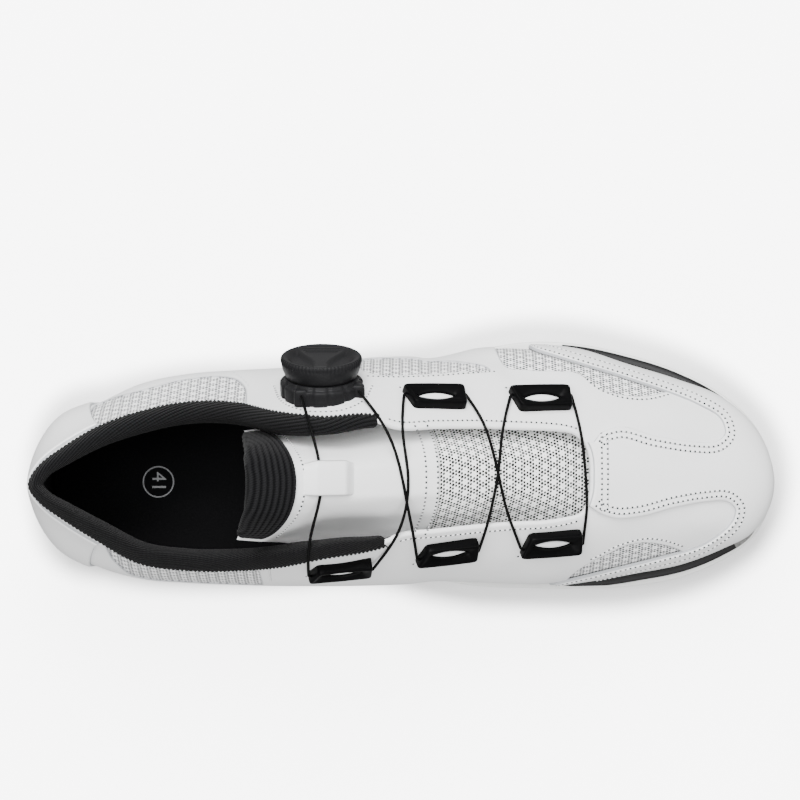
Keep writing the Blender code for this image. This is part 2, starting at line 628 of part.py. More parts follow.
def build_tongue(inner):
    """The tongue: a padded sheet that hangs from its crown line and stays under the upper."""
    table = {name: np.array(values) for name, values in zip(TONGUE_COLUMNS, zip(*TONGUE))}
    crown_x = along(table["x"])
    crown_z = table["crown_z"] * INSTEP_HEIGHT
    count = 2 * len(crown_x) - 1
    at = np.linspace(0, len(crown_x) - 1, count)
    knots = np.arange(len(crown_x))
    x = np.interp(at, knots, crown_x)
    z = flow(knots, crown_z, at)
    y = flow(knots, across(table["crown_y"]), at)
    outer = flow(knots, across(table["outer"]), at)
    inner_reach = flow(knots, across(table["inner"]), at)
    drop = flow(knots, table["drop"] * INSTEP_HEIGHT, at)
    along_x, along_z = np.gradient(x), np.gradient(z)
    length = np.hypot(along_x, along_z)
    down = np.stack([along_z / length, np.zeros(count), -along_x / length], axis=1)
    down *= np.sign(-down[:, 2:3])
    eta = np.linspace(-1.0, 1.0, 2 * TONGUE_SIDE_SAMPLES + 1)
    reach = np.where(eta[None, :] > 0, outer[:, None], inner_reach[:, None])
    crown = np.stack([x, y, z], axis=1)
    hang = drop[:, None] * np.abs(eta)[None, :] ** TONGUE_ROUNDING
    points = crown[:, None, :] + down[:, None, :] * hang[:, :, None]
    points[:, :, 1] += reach * eta[None, :]
    ceiling = BVHTree.FromPolygons(*grid_polygons(inner))
    height = points[:, :, 2].copy()
    for i in range(count):
        for j in range(len(eta)):
            hit = ceiling.ray_cast(Vector((points[i, j, 0], points[i, j, 1], BELOW_VAMP)), Vector((0, 0, 1)))[0]
            if hit is not None:
                height[i, j] = min(height[i, j], hit.z - TONGUE_CLEARANCE)
    lowest = spread(height, np.minimum.reduce)
    held = height < points[:, :, 2] - GAP
    near = spread(spread(held, np.maximum.reduce), np.maximum.reduce)
    points[:, :, 2] = spread(np.where(near, lowest, height), lambda nine: np.mean(nine, axis=0))
    return points


def spread(grid, combine):
    """Combines each value of a grid with its eight neighbours."""
    wide = np.pad(grid, 1, mode="edge")
    rows, columns = grid.shape
    return combine([wide[i : i + rows, j : j + columns] for i in range(3) for j in range(3)])


def grid_polygons(grid):
    """Points and faces of a grid that is closed round its first axis, as lists for a search tree."""
    rows, columns = grid.shape[:2]
    index = np.arange(rows * columns).reshape(rows, columns)
    faces = np.stack(
        [index[:, :-1], np.roll(index, -1, axis=0)[:, :-1], np.roll(index, -1, axis=0)[:, 1:], index[:, 1:]],
        axis=2,
    )
    return grid.reshape(-1, 3).tolist(), faces.reshape(-1, 4).tolist()


def make_tongue(points, collection):
    """Gives the tongue's upper face its thickness."""
    rows, columns = points.shape[:2]
    normal = np.cross(np.gradient(points, axis=1), np.gradient(points, axis=0))
    normal /= np.linalg.norm(normal, axis=2)[:, :, None]
    normal *= np.sign(normal[:, :, 2:3])
    edge = np.minimum(np.arange(columns), np.arange(columns)[::-1])
    taper = np.where(edge == 0, 0.45, 1.0)
    ends = np.where(np.minimum(np.arange(rows), np.arange(rows)[::-1]) == 0, 0.7, 1.0)
    depth = TONGUE_THICKNESS * taper[None, :] * ends[:, None]
    under = points - normal * depth[:, :, None]
    index = np.arange(rows * columns).reshape(rows, columns)
    lower = index + rows * columns
    quads = np.stack([index[:-1, :-1], index[1:, :-1], index[1:, 1:], index[:-1, 1:]], axis=2).reshape(-1, 4)
    faces = quads.tolist() + (quads + rows * columns).tolist()
    border = np.concatenate([index[0, :-1], index[:-1, -1], index[-1, :0:-1], index[:0:-1, 0]])
    below = np.concatenate([lower[0, :-1], lower[:-1, -1], lower[-1, :0:-1], lower[:0:-1, 0]])
    for k in range(len(border)):
        following = (k + 1) % len(border)
        faces.append([border[k], border[following], below[following], below[k]])
    return make_object("tongue", np.concatenate([points.reshape(-1, 3), under.reshape(-1, 3)]), faces, collection)


def frame_at(tree, x, y, yaw=0.0):
    """A frame on the shoe's skin above a plan point: x along the shoe, z along the skin's normal."""
    place, normal = tree.ray_cast(Vector((x, y, ABOVE)), Vector((0, 0, -1)))[:2]
    if normal.z < 0:
        normal = -normal
    return frame_on(place, normal, yaw)


def frame_on(place, normal, yaw=0.0):
    ahead = Vector((math.cos(math.radians(yaw)), math.sin(math.radians(yaw)), 0.0))
    ahead = (ahead - normal * ahead.dot(normal)).normalized()
    frame = Matrix((ahead, normal.cross(ahead), normal)).transposed().to_4x4()
    frame.translation = place
    return frame


def tree_of(*items):
    """One search tree for the faces of several objects."""
    points, faces = [], []
    for item in items:
        first = len(points)
        points += [vertex.co.copy() for vertex in item.data.vertices]
        faces += [[first + k for k in face.vertices] for face in item.data.polygons]
    return BVHTree.FromPolygons(points, faces)


def show(item):
    """A prism that is a piece of the shoe and no cutter."""
    item.hide_render = False
    item.display_type = "TEXTURED"
    return item


def make_guide(name, side, frame, seat, collection):
    """A moulded lace guide: a low trapezoid on the wall with a lens-shaped eye."""
    half, width = GUIDE_LENGTH / 2, GUIDE_WIDTH / 2
    outline = [
        (-half, width * side),
        (half, width * side),
        (half - GUIDE_TAPER * 0.3, -width * side),
        (-half + GUIDE_TAPER, -width * side),
    ]
    guide = show(prism(name, outline, "z", -GUIDE_SINK, GUIDE_HEIGHT, collection))
    rounding = guide.modifiers.new("edges", "BEVEL")
    rounding.width = GUIDE_EDGE
    rounding.segments = 1
    graph = bpy.context.evaluated_depsgraph_get()
    finished = bpy.data.meshes.new_from_object(guide.evaluated_get(graph))
    guide.modifiers.clear()
    guide.data = finished
    turns = np.linspace(0.0, 1.0, 7)
    lens = [((2 * t - 1) * GUIDE_EYE_LENGTH / 2, math.sin(math.pi * t) * GUIDE_EYE_WIDTH / 2) for t in turns]
    lens += [(a, -b) for a, b in lens[-2:0:-1]]
    eye_y = -side * width * 0.2
    eye_outline = [(a, b + eye_y) for a, b in lens]
    eye = prism("guide_eye", eye_outline, "z", GUIDE_HEIGHT * 0.45, GUIDE_HEIGHT * 2, collection)
    boolean(guide, eye, "DIFFERENCE")
    discard(eye)
    guide.data.transform(frame)
    boolean(guide, seat, "DIFFERENCE")
    return guide


def lathe(name, profile, segments, collection, flutes=0):
    """A turned solid. profile: rows of (radius, height, share of the fluting)."""
    angles = np.linspace(0.0, 2 * math.pi, segments, endpoint=False)
    loops = []
    for radius, height, fluted in profile:
        wave = DIAL_FLUTE_DEPTH * fluted * (np.arange(segments) % 2) if flutes else 0.0
        reach = radius - wave
        loops.append(np.stack([reach * np.cos(angles), reach * np.sin(angles), np.full(segments, height)], axis=1))
    index = np.arange(len(loops) * segments).reshape(len(loops), segments)
    low, high = index[:-1], index[1:]
    faces = np.stack([low, np.roll(low, -1, axis=1), np.roll(high, -1, axis=1), high], axis=2)
    faces = faces.reshape(-1, 4).tolist() + [index[0].tolist(), index[-1].tolist()]
    return make_object(name, np.concatenate(loops), faces, collection)


def make_dial(frame, seat, collection):
    """The closure's housing, seated on the wall, and the knob that turns on it."""
    base = lathe(
        "dial_base",
        (
            (DIAL_BASE_RADIUS, -DIAL_BASE_SINK, 0),
            (DIAL_BASE_RADIUS, DIAL_BASE_HEIGHT * 0.55, 0),
            (DIAL_BASE_RADIUS * 0.93, DIAL_BASE_HEIGHT, 0),
        ),
        32,
        collection,
    )
    size = Vector(DIAL_TAB_SIZE)
    for tab_x, tab_y in DIAL_TABS:
        corners = [(-1, -1), (1, -1), (1, 1), (-1, 1)]
        outline = [(tab_x + a * size.x / 2, tab_y + b * size.y / 2) for a, b in corners]
        tab = prism("dial_tab", outline, "z", -DIAL_BASE_SINK * 0.9, size.z, collection)
        boolean(base, tab, "UNION")
        discard(tab)
    base.data.transform(frame)
    boolean(base, seat, "DIFFERENCE")
    floor = DIAL_BASE_HEIGHT + GAP
    knob = lathe(
        "dial_knob",
        (
            (DIAL_RADIUS * 0.90, floor, 0),
            (DIAL_RADIUS, floor + DIAL_HEIGHT * 0.12, 1),
            (DIAL_RADIUS * 0.985, floor + DIAL_HEIGHT * 0.78, 1),
            (DIAL_RADIUS * 0.93, floor + DIAL_HEIGHT, 0),
            (DIAL_RADIUS * 0.84, floor + DIAL_HEIGHT, 0),
            (DIAL_RADIUS * 0.45, floor + DIAL_HEIGHT - DIAL_DISH, 0),
        ),
        2 * DIAL_FLUTES,
        collection,
        DIAL_FLUTES,
    )
    knob.data.transform(frame)
    return base, knob


def make_keeper(tongue, collection):
    """The loop on the tongue: a strap along it that stands clear of the cord in its middle."""
    skin = tree_of(tongue)
    middle_x, middle_y = along(KEEPER_PLACE[0]), across(KEEPER_PLACE[1])
    ends = np.linspace(-1.0, 1.0, 11)
    sides = np.linspace(-0.5, 0.5, 4)
    lift = KEEPER_LIFT * np.clip((1 - np.abs(ends)) / 0.35, 0.0, 1.0) ** 2
    lift *= (3 - 2 * np.clip((1 - np.abs(ends)) / 0.35, 0.0, 1.0))
    low = np.zeros((len(ends), len(sides), 3))
    high = np.zeros_like(low)
    for i, share in enumerate(ends):
        for j, side in enumerate(sides):
            frame = frame_at(skin, middle_x + share * KEEPER_LENGTH / 2, middle_y + side * KEEPER_WIDTH)
            normal = frame.to_3x3() @ Vector((0, 0, 1))
            normal = (normal + Vector((0.45, 0.0, 0.9)).normalized()).normalized()
            low[i, j] = frame.translation + normal * (2 * GAP + lift[i])
            high[i, j] = frame.translation + normal * (2 * GAP + lift[i] + KEEPER_THICKNESS)
    rows, columns = low.shape[:2]
    index = np.arange(rows * columns).reshape(rows, columns)
    upper = index + rows * columns
    quads = np.stack([index[:-1, :-1], index[1:, :-1], index[1:, 1:], index[:-1, 1:]], axis=2).reshape(-1, 4)
    faces = quads.tolist() + (quads + rows * columns).tolist()
    border = np.concatenate([index[0, :-1], index[:-1, -1], index[-1, :0:-1], index[:0:-1, 0]])
    above = np.concatenate([upper[0, :-1], upper[:-1, -1], upper[-1, :0:-1], upper[:0:-1, 0]])
    for k in range(len(border)):
        following = (k + 1) % len(border)
        faces.append([border[k], border[following], above[following], above[k]])
    return make_object("tongue_keeper", np.concatenate([low.reshape(-1, 3), high.reshape(-1, 3)]), faces, collection)


def lace_path(plan, skin, crossing):
    """A taut run over the skin: the lowest line that nowhere dips below the clearance."""
    line = smooth_line([(along(x), across(y)) for x, y in plan], CORD_SAMPLES)
    distance = np.concatenate([[0.0], np.cumsum(np.linalg.norm(np.diff(line, axis=0), axis=1))])
    height = np.array([skin.ray_cast(Vector((x, y, ABOVE)), Vector((0, 0, -1)))[0].z for x, y in line])
    height += CORD_RADIUS + CORD_CLEARANCE
    taut = height.copy()
    for i in range(len(height)):
        for a in range(i):
            for b in range(i + 1, len(height)):
                share = (distance[i] - distance[a]) / (distance[b] - distance[a])
                taut[i] = max(taut[i], height[a] * (1 - share) + height[b] * share)
    path = np.column_stack([line, taut])
    if crossing is None:
        return path, None
    near = np.linalg.norm(line - np.array([along(crossing[0]), across(crossing[1])]), axis=1)
    return path, near


def tube(name, path, collection):
    """A cord of a few flat sides along a path, closed at both ends."""
    path = np.asarray(path)
    forward = np.gradient(path, axis=0)
    forward /= np.linalg.norm(forward, axis=1)[:, None]
    side = np.cross(forward, np.array([0.0, 0.0, 1.0]))
    side /= np.linalg.norm(side, axis=1)[:, None]
    rise = np.cross(side, forward)
    turn = np.linspace(0, 2 * math.pi, CORD_SIDES, endpoint=False)
    ring = side[:, None, :] * np.cos(turn)[None, :, None] + rise[:, None, :] * np.sin(turn)[None, :, None]
    ring = path[:, None, :] + CORD_RADIUS * ring
    index = np.arange(ring.shape[0] * CORD_SIDES).reshape(-1, CORD_SIDES)
    low, high = index[:-1], index[1:]
    faces = np.stack([low, np.roll(low, -1, axis=1), np.roll(high, -1, axis=1), high], axis=2)
    faces = faces.reshape(-1, 4).tolist() + [index[0].tolist(), index[-1].tolist()]
    return make_object(name, ring.reshape(-1, 3), faces, collection)


def make_laces(skin, collection):
    """The runs of cord that show between the guides. Crossing runs are one solid each."""
    made = {}
    for number, plan in LACE_RUNS:
        crossing = CROSSINGS.get(number)
        path, near = lace_path(plan, skin, crossing)
        if crossing is not None:
            here = path[int(np.argmin(near)), 2]
            if number in made:
                lift = made[number][1] - here
                bump = np.exp(-((near / CROSSING_WIDTH) ** 2))
                path[:, 2] += max(lift, 0.0) * bump
            else:
                lift = 0.0
        run = tube(f"lace_{number}", path, collection)
        if number in made:
            first = made[number][0]
            if lift < 0.0:
                other = made[number][2]
                bump = np.exp(-((made[number][3] / CROSSING_WIDTH) ** 2))
                other[:, 2] -= lift * bump
                discard(first)
                first = tube(f"lace_{number}", other, collection)
            boolean(first, run, "UNION")
            discard(run)
        else:
            made[number] = (run, path[int(np.argmin(near)), 2] if near is not None else 0.0, path, near)
    for item in collection.objects:
        if item.name.startswith("lace_"):
            item.name = item.name.split(".")[0]


MATERIALS = {
    "white nylon": (0.80, 0.80, 0.79, 0.42),
    "black rubber": (0.02, 0.02, 0.02, 0.75),
    "white synthetic leather": (0.82, 0.82, 0.81, 0.45),
    "white coated overlay": (0.84, 0.84, 0.84, 0.38),
    "black foam with cloth": (0.015, 0.015, 0.015, 0.90),
    "white padded cloth": (0.78, 0.78, 0.77, 0.70),
    "black moulded plastic": (0.015, 0.015, 0.016, 0.35),
    "black dial plastic": (0.020, 0.020, 0.022, 0.45),
    "black cord": (0.02, 0.02, 0.02, 0.60),
    "black stripe rubber": (0.03, 0.03, 0.03, 0.60),
}
MATERIAL_OF = {
    "outsole": "white nylon",
    "heel_tread": "black rubber",
    "insole": "black foam with cloth",
    "upper": "white synthetic leather",
    "tongue": "white padded cloth",
    "tongue_keeper": "white coated overlay",
    "toe_cap": "white coated overlay",
    "heel_counter": "white coated overlay",
    "stripe_outer": "black stripe rubber",
    "stripe_inner": "black stripe rubber",
    "dial_base": "black dial plastic",
    "dial_knob": "black dial plastic",
}


def paint(item):
    """Gives an object a Principled material of its own."""
    kind = MATERIAL_OF.get(item.name)
    if kind is None:
        kind = "black cord" if item.name.startswith("lace") else "black moulded plastic"
    red, green, blue, roughness = MATERIALS[kind]
    material = bpy.data.materials.new(f"{item.name} {kind}")
    material.use_nodes = True
    shader = material.node_tree.nodes["Principled BSDF"]
    shader.inputs["Base Color"].default_value = (red, green, blue, 1.0)
    shader.inputs["Roughness"].default_value = roughness
    item.data.materials.clear()
    item.data.materials.append(material)


def main():
    for item in list(bpy.data.objects):
        bpy.data.objects.remove(item)
    shoe = bpy.data.collections.new("cycling_shoe")
    cutters = bpy.data.collections.new("cutters")
    bpy.context.scene.collection.children.link(shoe)
    bpy.context.scene.collection.children.link(cutters)
    cutters.hide_render = True
    ribs = read_ribs()
    surface, share = outer_surface(ribs)
    normal = outward(surface, ribs)
    upper, inner = make_upper(ribs, surface, normal, share, shoe)
    make_sole(ribs, shoe)
    make_heel_tread(ribs, shoe)
    make_insole(ribs, shoe)
    tongue_points = build_tongue(inner)
    tongue = make_tongue(tongue_points, shoe)
    toe_shell = seated(surface, normal, GAP, TOE_CAP_THICKNESS + GAP, shoe, "toe_cap")
    toe_cap = make_toe_cap(toe_shell, cutters)
    counter_shell = seated(surface, normal, GAP, COUNTER_THICKNESS + GAP, shoe, "heel_counter")
    make_counter(counter_shell, cutters)
    make_stripe("stripe_outer", ribs, 3, 6, shoe)
    make_stripe("stripe_inner", ribs, 34, 38, shoe)
    seat = show(seated(surface, normal, -SEAT_DEPTH, GAP, shoe, "seat"))
    skin = tree_of(seat)
    for name, side, x, y, yaw in GUIDES:
        make_guide(name, side, frame_at(skin, along(x), across(y), yaw), seat, shoe)
    dial_frame = frame_at(skin, along(DIAL_PLACE[0]), across(DIAL_PLACE[1]))
    tilt = math.radians(DIAL_TILT)
    dial_frame = frame_on(dial_frame.translation, Vector((0.0, math.sin(tilt), math.cos(tilt))))
    make_dial(dial_frame, seat, shoe)
    make_keeper(tongue, shoe)
    make_laces(tree_of(upper, tongue, toe_cap), shoe)
    discard(seat)
    for item in shoe.objects:
        paint(item)


main()
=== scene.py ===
# %% [markdown]
# A road cycling shoe, seen from above.
#
# This is a left shoe in European size 41, white, with a black padded collar, a rotary dial on its
# outer side and one thin black cord that runs through five guides. It stands empty on its sole.
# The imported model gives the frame: where each piece is and how large it may be. This script dresses
# that frame. Each step says what the piece is on the real shoe, how it could be made here, and why
# this way was chosen.
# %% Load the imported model
import math

import bmesh
import bpy
import numpy as np
from mathutils import Matrix, Vector
from mathutils.bvhtree import BVHTree


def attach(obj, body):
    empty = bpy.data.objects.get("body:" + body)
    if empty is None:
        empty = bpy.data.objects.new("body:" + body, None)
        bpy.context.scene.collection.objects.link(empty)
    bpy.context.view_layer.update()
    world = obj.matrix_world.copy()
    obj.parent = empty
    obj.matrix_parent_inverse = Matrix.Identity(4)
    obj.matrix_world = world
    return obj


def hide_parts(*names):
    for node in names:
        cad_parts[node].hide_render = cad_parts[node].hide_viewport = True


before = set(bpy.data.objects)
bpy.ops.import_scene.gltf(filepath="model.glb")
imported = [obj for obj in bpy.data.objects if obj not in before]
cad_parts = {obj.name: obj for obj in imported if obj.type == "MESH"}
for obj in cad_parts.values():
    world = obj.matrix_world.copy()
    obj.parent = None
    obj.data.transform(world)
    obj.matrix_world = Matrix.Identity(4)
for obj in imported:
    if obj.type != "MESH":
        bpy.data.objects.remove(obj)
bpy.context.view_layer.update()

# %% [markdown]
# The camera looks straight down, as the photograph does. Its height decides how much nearer the
# collar looks than the sole, and 1.1 m above the widest part of the shoe gives the same mild
# perspective. The shoe lies a little below the middle of the picture, so the camera stands over the
# outer side of the foot instead of using a lens shift. Four soft lamps and an even sky light it: a
# window on the outer side, a panel overhead, a weak lamp in front of the toe and, low on the inner
# side, one that stands for a white card which sends light back.
# %% Camera and light
PICTURE_WIDTH = 0.2984
EYE_PLANE = 0.030
EYE_DISTANCE = 1.10
EYE_PLACE = (0.1076, 0.0306)
SENSOR = 36.0
SHOE_MIDDLE = (0.109, 0.0, 0.03)
LAMPS = (
    # name, place in metres, size of the square in metres, power in watts
    ("window", (0.00, 1.00, 1.00), 0.8, 40.0),
    ("ceiling", (-0.35, 0.25, 1.45), 1.1, 26.0),
    ("front", (0.95, 0.35, 0.90), 0.7, 7.0),
    ("card", (0.12, -0.95, 0.60), 0.7, 9.0),
)
WORLD_LIGHT = 0.62

scene = bpy.context.scene


def new_object(name, data):
    """An object at the origin, linked to the scene."""
    made = bpy.data.objects.new(name, data)
    scene.collection.objects.link(made)
    return made


camera = new_object("camera", bpy.data.cameras.new("camera"))
camera.data.sensor_width = SENSOR
camera.data.lens = SENSOR * EYE_DISTANCE / PICTURE_WIDTH
camera.data.clip_end = 10.0
camera.location = (*EYE_PLACE, EYE_PLANE + EYE_DISTANCE)
scene.camera = camera
for name, place, size, power in LAMPS:
    lamp = new_object(name, bpy.data.lights.new(name, "AREA"))
    lamp.data.size = size
    lamp.data.energy = power
    lamp.location = place
    lamp.rotation_euler = (Vector(place) - Vector(SHOE_MIDDLE)).to_track_quat("Z", "Y").to_euler()
world = bpy.data.worlds.new("studio")
world.use_nodes = True
sky = world.node_tree.nodes["Background"].inputs
sky["Color"].default_value = (1.0, 1.0, 1.0, 1.0)
sky["Strength"].default_value = WORLD_LIGHT
scene.world = world
print("lens:", round(camera.data.lens, 1), "mm")

# %% [markdown]
# Materials come next. Each starts from what the real one is. One function adds a node with its
# settings and its links, so a material reads from top to bottom as a list of nodes. Colours are
# written as the sRGB values that a colour picker shows and turned to linear here. Pattern sizes are
# written in millimetres, because a weave or a grain has a real size.
# %% Helpers for materials
def linear(hex_colour):
    """Turns an sRGB hex value to linear: c / 12.92 below 0.04045, else ((c + 0.055) / 1.055) ** 2.4."""
    parts = [int(hex_colour[i : i + 2], 16) / 255 for i in (1, 3, 5)]
    return tuple(c / 12.92 if c <= 0.04045 else ((c + 0.055) / 1.055) ** 2.4 for c in parts) + (1.0,)


def per_mm(size):
    """Turns a pattern's size in millimetres to a scale on coordinates in metres."""
    return 1000.0 / size


def turns(size_mm, angle):
    """A direction whose dot product with a place in metres grows by one full turn every size_mm."""
    pull = 2 * math.pi * per_mm(size_mm)
    return (math.cos(math.radians(angle)) * pull, math.sin(math.radians(angle)) * pull, 0.0)


def node(tree, kind, output, inputs=None, **settings):
    """Adds one node. An input is a value or another node's output. Gives back one of its outputs."""
    made = tree.nodes.new("ShaderNode" + kind)
    for key, value in settings.items():
        setattr(made, key, value)
    for key, value in (inputs or {}).items():
        if isinstance(value, bpy.types.NodeSocket):
            tree.links.new(value, made.inputs[key])
        else:
            made.inputs[key].default_value = value
    return made.outputs[output]


def new_material(name, roughness, ior=1.5):
    """An empty material with its shader. Roughness and IOR are set on the shader's own sockets."""
    material = bpy.data.materials.new(name)
    material.use_nodes = True
    shader = material.node_tree.nodes["Principled BSDF"]
    shader.inputs["Roughness"].default_value = roughness
    shader.inputs["IOR"].default_value = ior
    return material, material.node_tree, shader.inputs


def dress(tree, inputs, colour, normal):
    """Links a colour and a normal to the shader."""
    tree.links.new(colour, inputs["Base Color"])
    tree.links.new(normal, inputs["Normal"])


print("middle grey in linear light:", round(linear("#808080")[0], 3))

# %% [markdown]
# The white panels are synthetic leather: a knitted backing with a smooth polyurethane coat that was
# embossed with a fine grain. To the eye it is a clean, slightly cool white with a soft gloss and
# broad, quiet changes of tone where the panel gives. The grain of the real one is about 0.3 mm and
# would vanish at this size, so it is drawn three times as coarse and kept very shallow.
# %% White synthetic leather
GRAIN_MM = 0.9
UNEVEN_MM = 22.0
GRAIN_DEPTH = 0.000035
UNEVEN_DEPTH = 0.00025
COAT_IOR = 1.46
PANEL_TONES = ("#E3E3E2", "#D9DADB")


def leather_tones(tree, light, shade):
    """Colour and normal of coated microfibre: uneven tone from broad noise, cells for the grain."""
    place = node(tree, "TexCoord", "Object")
    broad = node(tree, "TexNoise", 0, {"Vector": place, "Scale": per_mm(UNEVEN_MM), "Detail": 2.0})
    colour = node(tree, "Mix", 2, {0: broad, 6: linear(shade), 7: linear(light)}, data_type="RGBA")
    cells = node(tree, "TexVoronoi", "Distance", {"Vector": place, "Scale": per_mm(GRAIN_MM)})
    grain = node(tree, "Bump", 0, {"Height": cells, "Distance": GRAIN_DEPTH})
    return colour, node(tree, "Bump", 0, {"Height": broad, "Distance": UNEVEN_DEPTH, "Normal": grain})


def synthetic_leather(name, tones, roughness):
    """Leather with nothing but its own grain."""
    material, tree, inputs = new_material(name, roughness, COAT_IOR)
    dress(tree, inputs, *leather_tones(tree, *tones))
    return material


WHITE_LEATHER = synthetic_leather("white synthetic leather", PANEL_TONES, 0.42)
CAP_LEATHER = synthetic_leather("white coated overlay", ("#E4E4E3", "#DBDCDD"), 0.38)
print("made:", WHITE_LEATHER.name, "and", CAP_LEATHER.name)

# %% [markdown]
# The airy panels are a warp-knitted mesh with small holes set in six-pointed stars. Such a lattice
# is three sets of waves at 60 degrees to each other. Where all three are high there is a hole, so the
# sum of three cosines gives a regular lattice of holes with no image. A second set of waves, three
# times as long, gathers the holes into stars. The pattern follows the piece's own surface
# coordinates, as the cloth does.
# %% Knitted mesh
HOLE_WAVE_MM = 1.18
STAR_WAVE_MM = 3 * HOLE_WAVE_MM
STAR_WEIGHT = 0.80
HOLE_STARTS, HOLE_ENDS = -0.02, 0.58
HOLE_DEPTH = 0.0004
YARN_SHEEN = 0.15


def lattice(tree, place, wave_mm):
    """The sum of three cosines whose waves run at 0, 60 and 120 degrees: from -1.5 to 3."""
    total = 0.0
    for angle in (0.0, 60.0, 120.0):
        step = turns(wave_mm, angle)
        phase = node(tree, "VectorMath", "Value", {0: place, 1: step}, operation="DOT_PRODUCT")
        wave = node(tree, "Math", 0, {0: phase}, operation="COSINE")
        total = node(tree, "Math", 0, {0: total, 1: wave}, operation="ADD")
    return total


def star_holes(tree):
    """1 in a hole of the knit and 0 on its yarn, on the piece's surface coordinates."""
    place = node(tree, "UVMap", "UV", uv_map="surface")
    fine = lattice(tree, place, HOLE_WAVE_MM)
    coarse = lattice(tree, place, STAR_WAVE_MM)
    gathered = node(tree, "Math", 0, {0: coarse, 1: -STAR_WEIGHT, 2: fine}, operation="MULTIPLY_ADD")
    edge = {"Value": gathered, "From Min": HOLE_STARTS, "From Max": HOLE_ENDS}
    return node(tree, "MapRange", 0, edge, interpolation_type="SMOOTHSTEP")


def knitted_mesh(name, yarn, gap):
    """White polyester knit with dark holes that sink 0.4 mm."""
    material, tree, inputs = new_material(name, 0.75)
    holes = star_holes(tree)
    colour = node(tree, "Mix", 2, {0: holes, 6: linear(yarn), 7: linear(gap)}, data_type="RGBA")
    dress(tree, inputs, colour, node(tree, "Bump", 0, {"Height": holes, "Distance": HOLE_DEPTH}, invert=True))
    inputs["Sheen Weight"].default_value = YARN_SHEEN
    return material


WHITE_MESH = knitted_mesh("white knitted mesh", "#F0F0EF", "#0E0F10")
print("made:", WHITE_MESH.name, "with stars every", round(STAR_WAVE_MM, 2), "mm")

# %% [markdown]
# The upper's outer face is mostly synthetic leather, with knitted mesh in a few fields. One surface
# carries both, because on the real shoe the leather is laid over the mesh and cut away. Each point
# of the mesh knows how far it is from the edge of the nearest field, as an attribute in millimetres.
# The shader draws the knit where that distance is positive. Its holes are greyer here than on the
# tongue: they are painted shade on the white cloth that lies right behind them. A grey line of
# painted shade runs in the fold at each field's edge and along the seams.
# %% Leather with fields of mesh
# The grey line along the fields' edges and the seams is painted shade, where the leather steps down.
FOLD_SHADE_MM = 0.70
FOLD_SHADE = 0.72
FIELD_BLEND_MM = 0.05


def leather_with_fields(name):
    """Leather outside the fields, knit inside them, and a grey line of painted shade in folds and seams."""
    material, tree, inputs = new_material(name, 0.45, COAT_IOR)
    leather, leather_normal = leather_tones(tree, *PANEL_TONES)
    distance = node(tree, "Attribute", "Fac", attribute_name="field_mm")
    border = {"Value": distance, "From Min": -FIELD_BLEND_MM, "From Max": FIELD_BLEND_MM}
    inside = node(tree, "MapRange", 0, border)
    holes = node(tree, "Math", 0, {0: star_holes(tree), 1: inside}, operation="MULTIPLY")
    # Painted shade: the holes are grey, the shade on the white cloth right behind them.
    knit = node(tree, "Mix", 2, {0: holes, 6: linear("#ECECEC"), 7: linear("#46484B")}, data_type="RGBA")
    colour = node(tree, "Mix", 2, {0: inside, 6: leather, 7: knit}, data_type="RGBA")
    away = node(tree, "Math", 0, {0: distance}, operation="ABSOLUTE")
    seam = node(tree, "Attribute", "Fac", attribute_name="seam_mm")
    nearest = node(tree, "Math", 0, {0: away, 1: seam}, operation="MINIMUM")
    shade = {"Value": nearest, "From Min": 0.0, "From Max": FOLD_SHADE_MM, "To Min": FOLD_SHADE, "To Max": 0.0}
    # Painted shade: grey in the fold at a field's edge and in a seam's groove.
    fold_shade = node(tree, "MapRange", 0, shade)
    colour = node(tree, "Mix", 2, {0: fold_shade, 6: colour, 7: linear("#8F9195")}, data_type="RGBA")
    sunk = {"Height": holes, "Distance": HOLE_DEPTH, "Normal": leather_normal}
    dress(tree, inputs, colour, node(tree, "Bump", 0, sunk, invert=True))
    return material


FIELD_LEATHER = leather_with_fields("white leather with mesh fields")
print("made:", FIELD_LEATHER.name)

# %% [markdown]
# The collar and the top of the tongue are covered with a black ribbed knit. Its ribs follow the
# piece, so the pattern reads the piece's own surface coordinates, which run along the edge (first)
# and across it (second), in metres. A rib is a rounded row of loops, and the loops cross it every
# 0.8 mm. The colour follows the same height, so the valleys carry painted shade and the tops a
# painted highlight. The light that such a knit catches sinks in between its loops, so its index of
# refraction is set far below a fibre's 1.5. At 1.5 the soft lamps would turn the black to grey.
# %% Black ribbed knit
LOOP_MM = 0.8
LOOP_ANGLE = 25
LOOP_WEIGHT = 0.18
RIB_STARTS, RIB_ENDS = -1.0, 0.6
RIB_DEPTH = 0.0003
KNIT_IOR = 1.15
KNIT_SHEEN = 0.04


def ribbed_knit(name, rib_mm, angle, top, valley_shade):
    """Ribs at an angle to the first coordinate, with the fine loops of the knit across them. The
    colour follows their height: painted shade in the valleys and a painted highlight on the tops.
    """
    material, tree, inputs = new_material(name, 0.9, KNIT_IOR)
    place = node(tree, "UVMap", "UV", uv_map="surface")
    waves = []
    for size, turned in ((rib_mm, 90 + angle), (LOOP_MM, LOOP_ANGLE + angle)):
        phase = node(tree, "VectorMath", "Value", {0: place, 1: turns(size, turned)}, operation="DOT_PRODUCT")
        waves.append(node(tree, "Math", 0, {0: phase}, operation="SINE"))
    rib = node(tree, "MapRange", 0, {"Value": waves[0], "From Min": RIB_STARTS, "From Max": RIB_ENDS})
    height = node(tree, "Math", 0, {0: waves[1], 1: LOOP_WEIGHT, 2: rib}, operation="MULTIPLY_ADD")
    # Painted light: the colour runs from the valleys' painted shade to the tops' painted highlight.
    colour = node(tree, "Mix", 2, {0: height, 6: linear(valley_shade), 7: linear(top)}, data_type="RGBA")
    dress(tree, inputs, colour, node(tree, "Bump", 0, {"Height": height, "Distance": RIB_DEPTH}))
    inputs["Sheen Weight"].default_value = KNIT_SHEEN
    return material


